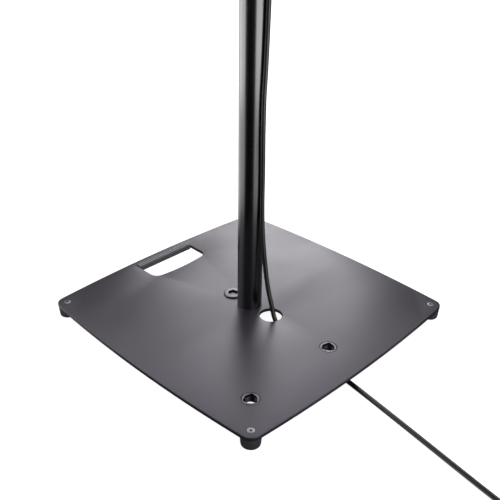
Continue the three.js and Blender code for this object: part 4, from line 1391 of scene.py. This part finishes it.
def make_collar():
    collar = make_object("clamp_collar_fine", collar_shape())
    boss_middle = BOSS_HEIGHT - COLLAR_LOW
    combine(collar, make_object("boss", moved(boss_shape(), z=boss_middle, turn=ALONG_MINUS_Y)), "UNION")
    combine(collar, make_object("bore", rod(19.3, -1, 81, 128)), "DIFFERENCE")
    screw_hole = moved(rod(5.3, 0, 41), z=boss_middle, turn=ALONG_MINUS_Y)
    combine(collar, make_object("screw_hole", screw_hole), "DIFFERENCE")
    for angle in (50, 130):
        turn = Matrix.Rotation(math.radians(angle), 3, "Z") @ ALONG_X
        hole = moved(rod(3.3, 0, 28, 32), z=POLE_END - 22 - COLLAR_LOW, turn=turn)
        combine(collar, make_object("set_screw_hole", hole), "DIFFERENCE")
    settle(collar, "base", "black_plastic", ["clamp_collar"], (0, 0, COLLAR_LOW))


make_collar()


# %% Guide bush
def make_guide_bush():
    rows = eased([
        (LOWER_INNER, POLE_END + 0.05), (POLE_RADIUS, POLE_END + 0.05, 0.3),
        (POLE_RADIUS, COLLAR_HIGH + 0.05), (23, COLLAR_HIGH + 0.05, 0.2),
        (23, COLLAR_HIGH + 3.05, 0.9), (LOWER_INNER, COLLAR_HIGH + 3.05, 0.6),
    ])
    bush = make_object("guide_bush_fine", turned(rows, 128, closed=True))
    hole = moved(rod(5.3, 0, 27), z=BOSS_HEIGHT, turn=ALONG_MINUS_Y)
    combine(bush, make_object("pad_hole", hole), "DIFFERENCE")
    settle(bush, "base", "black_plastic", ["guide_bush"])


make_guide_bush()

# %% [markdown]
# ### The knob
#
# A star knob is what a hand turns to clamp the tube. It has six soft lobes. Its outline comes
# from one cosine, scaled row by row: small at the back, full in the middle and drawn in again at
# the rounded front. A dished centre and a fine ring finish its face.


# %% Star knob and clamp screw
def star(scale):
    return lambda angle: scale * (23 + 3 * math.cos(6 * angle))


def knob_shape():
    lobes = [(0.6, 45.0), (0.8, 45.4), (0.9, 46.2), (0.96, 47.6), (0.99, 49.4), (1.0, 51.5), (1.0, 58.5)]
    lobes += [(0.99, 60.6), (0.965, 62.4), (0.925, 64.0), (0.87, 65.1), (0.79, 65.8), (0.7, 66.0)]
    rows = [(0, 62), (5.3, 62), (5.3, 44.5), (5.8, 44), (11, 44), (11.6, 44.6)]
    rows += [(star(scale), height) for scale, height in lobes]
    rows += [(13.6, 66), (13.1, 65.8), (12.7, 65.2), (12.2, 64.9), (11.6, 64.9), (11.1, 65.2)]
    rows += [(8, 65.6), (4, 65.8), (0, 65.85)]
    return turned(rows, 192)


def clamp_screw_shape():
    rows = [(0, 25.85), (4.5, 25.85), (5, 26.35)]
    height = 26.8
    while height < 60:
        rows += [(5, height), (4.45, height + 0.6)]
        height += 1.2
    rows += [(5, 60.6), (5, 61.2), (4.5, 61.7), (0, 61.7)]
    return turned(rows, 64)


for piece, shape, finish, sharp in (
    ("clamp_knob", knob_shape(), "black_plastic", 40),
    ("clamp_screw", clamp_screw_shape(), "zinc_steel", 32),
):
    shape = moved(shape, turn=ALONG_MINUS_Y)
    make_piece(f"{piece}_fine", shape, "knob", finish, [piece], (0, 0, BOSS_HEIGHT), sharp)

# %% [markdown]
# ### The locking pin
#
# The pin goes through the upper tube just above the bush, so that the tube can't drop. Its head
# ends in a flat eye, in which a pull ring hangs. Shaft and head are turned in one piece, and
# the eye is added and drilled.


# %% Locking pin and pull ring
EYE_PLACE, EYE_RADIUS = -37, 6
RING_RADIUS, RING_WIRE = 13, 1.5


def eye_shape():
    """A flat tab with a round end, in X and Z, from the pin's head outwards to -X."""
    outline = [(7, 3), *arc(0, 0, EYE_RADIUS, math.radians(30), math.radians(330), 32), (7, -3)]
    corners = []
    for inset, y in ((0.4, -2.4), (0, -2.0), (0, 2.0), (0.4, 2.4)):
        corners += [(x, y, z) for x, z in offset(outline, inset)]
    return corners, capped_skin(4, len(outline))


def make_locking_pin():
    rows = eased([
        (0, -25), (4, -25, 1.4), (4, 27), (8, 27, 0.4), (8, 31, 0.9), (0, 31),
    ], 5)
    pin = make_object("locking_pin_fine", moved(turned(rows, 64), turn=ALONG_MINUS_X))
    combine(pin, make_object("eye", moved(eye_shape(), x=EYE_PLACE)), "UNION")
    hole = moved(rod(1.9, -4, 4, 32), x=EYE_PLACE, turn=ALONG_MINUS_Y)
    combine(pin, make_object("eye_hole", hole), "DIFFERENCE")
    settle(pin, "lock_pin", "zinc_steel", ["locking_pin"], (0, 0, PIN_HEIGHT))


def ring_shape(radius, wire, around=72, across=16):
    """A wire ring that stands across X, centred on the origin."""
    corners = []
    for i in range(around):
        a = 2 * math.pi * i / around
        for k in range(across):
            b = 2 * math.pi * k / across
            reach = radius + wire * math.cos(b)
            corners.append((wire * math.sin(b), reach * math.cos(a), reach * math.sin(a)))
    return corners, skin(around, across, closed=True)


make_locking_pin()
make_piece("pin_pull_ring_fine", ring_shape(RING_RADIUS, RING_WIRE), "pull_ring", "zinc_steel",
           ["pin_pull_ring"], (EYE_PLACE, 0, PIN_HEIGHT - RING_RADIUS), 60)

# %% [markdown]
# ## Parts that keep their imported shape
#
# Washers, nuts, set screws, the pressure pad and the plugs inside the tubes are simple and
# mostly hidden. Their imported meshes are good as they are, so they only get their finish.

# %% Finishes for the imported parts
SLOT_OF = {entry["node"]: entry["material_slot"] for entry in frame["record"]["subparts"]}
for name, part in frame["nodes"].items():
    part.data.materials.clear()
    part.data.materials.append(FINISHES[SLOT_OF[name]])

# %% [markdown]
# ## Floor, backdrop and light
#
# The photograph has a pure white ground and almost no shadow. The floor's own colour is a light
# grey, and its own glow, which only camera and mirror rays see, lifts it to white, so that no
# extra light falls on the stand. In two sectors that mirrored glow is shaded, as dark cards beside
# a set would do it, and close to the stand it fades as a painted shadow of the stand: there the
# base and the pole mirror darkness.


# %% Floor and world
def facing(tree, place, direction, dark_angle, bright_angle):
    """0 within the first angle of a level direction and 1 beyond the second, in degrees."""
    unit = vector_calc(tree, "NORMALIZE", place)
    along = vector_calc(tree, "DOT_PRODUCT", (unit, 0), (math.cos(direction), math.sin(direction), 0))
    dark, bright = (math.cos(math.radians(angle)) for angle in (dark_angle, bright_angle))
    return ramp(tree, (along, "Value"), dark, bright, interpolation_type="SMOOTHSTEP")


def product(tree, *sources):
    """Multiplies the first outputs of several nodes."""
    total = sources[0]
    for source in sources[1:]:
        total = calc(tree, "MULTIPLY", (total, 0), (source, 0))
    return total


def make_floor():
    finish = bpy.data.materials.new("white_floor")
    finish.use_nodes = True
    tree = finish.node_tree
    tree.nodes.clear()
    rays = add_node(tree, "ShaderNodeLightPath")
    mirrored = calc(tree, "MAXIMUM", (rays, "Is Glossy Ray"), (rays, "Is Transmission Ray"))
    flat = own_level_place(tree)
    shades = [facing(tree, flat, math.radians(bearing), dark, bright) for bearing, dark, bright in SHADES]
    reach = vector_calc(tree, "LENGTH", flat)
    # Painted shadow: near the stand the mirrored glow fades out, standing in for the stand's shadow on the
    # floor.
    clear = ramp(tree, (reach, "Value"), *GLOW_FADE, interpolation_type="SMOOTHSTEP")
    shown = product(tree, mirrored, clear, *shades)
    strength = calc(tree, "MULTIPLY_ADD", (rays, "Is Camera Ray"), FLOOR_GLOW, (shown, 0))
    glow = add_node(tree, "ShaderNodeEmission")
    join(tree, strength, 0, glow, "Strength")
    level = ramp(tree, (rays, "Is Glossy Ray"), 0.0, 1.0, to_min=FLOOR_WHITE, to_max=0.0)
    plain = add_node(tree, "ShaderNodeBsdfDiffuse")
    join(tree, level, "Result", plain, "Color")
    total = feed(tree, add_node(tree, "ShaderNodeAddShader"), [(glow, 0), (plain, 0)])
    join(tree, total, 0, add_node(tree, "ShaderNodeOutputMaterial"), "Surface")
    corners = [(x * FLOOR_HALF, y * FLOOR_HALF, 0) for x, y in ((-1, -1), (1, -1), (1, 1), (-1, 1))]
    mesh = bpy.data.meshes.new("floor")
    mesh.from_pydata(corners, [], [(0, 1, 2, 3)])
    mesh.materials.append(finish)
    floor = in_scene("floor", mesh)


def make_world():
    """White where it is seen directly, plain grey light on the stand, and dim in mirrors."""
    world = bpy.data.worlds.new("studio")
    world.use_nodes = True
    world.cycles.sampling_method = "NONE"
    tree = world.node_tree
    background = tree.nodes["Background"]
    background.inputs["Color"].default_value = (1, 1, 1, 1)
    rays = add_node(tree, "ShaderNodeLightPath")
    extra = WORLD_FILL - WORLD_MIRRORED
    fill = calc(tree, "MULTIPLY_ADD", (rays, "Is Diffuse Ray"), extra, WORLD_MIRRORED)
    strength = calc(tree, "MAXIMUM", (fill, 0), (rays, "Is Camera Ray"))
    join(tree, strength, 0, background, "Strength")
    bpy.context.scene.world = world


SHADES = ((-65.3, 36.5, 44.5), (83.2, 47, 55))
GLOW_FADE = (0.2, 0.43)
FLOOR_GLOW, FLOOR_WHITE, FLOOR_HALF = 0.93, 0.35, 6.0
WORLD_FILL, WORLD_MIRRORED = 0.52, 0.06
make_floor()
make_world()


# %% [markdown]
# Three soft lamps hang behind the stand, one above the other. The base mirrors them as the pale
# patch round the pole's foot. A tall lamp at each side draws the light stripes on the pole.


# %% Lamps
def make_lamp(name, bearing, rise, distance, width, height, radiance, target=0.0):
    """A soft lamp hidden from the camera. It stands at a bearing and a rise, in degrees, facing
    the pole at the target's height. Lengths are in metres."""
    data = bpy.data.lights.new(name, "AREA")
    data.shape = "RECTANGLE"
    data.size, data.size_y = width, height
    data.energy = radiance * math.pi * width * height
    lamp = in_scene(name, data)
    aim = Vector((0, 0, target))
    level, tilt = math.radians(bearing), math.radians(rise)
    lamp.location = aim + distance * Vector((
        math.cos(level) * math.cos(tilt), math.sin(level) * math.cos(tilt), math.sin(tilt),
    ))
    lamp.rotation_euler = (aim - lamp.location).to_track_quat("-Z", "Y").to_euler()
    lamp.visible_camera = False


make_lamp("low back strip", 131, 19, 2.4, 0.95, 0.5, 6.0)
make_lamp("back softbox", 131.9, 35, 2.4, 1.1, 0.95, 2.9)
make_lamp("top softbox", 129, 54, 2.4, 2.6, 0.7, 2.6)
make_lamp("left standing lamp", -142.8, 0, 0.9, 1.12, 1.1, 1.45, 0.56)
make_lamp("right standing lamp", 1.7, 0, 0.9, 0.86, 1.1, 1.77, 0.56)

# %% [markdown]
# ## View settings
#
# The view settings stay plain, so that a colour is shown as it is written.

# %% Finish
bpy.context.scene.view_settings.view_transform = "Standard"
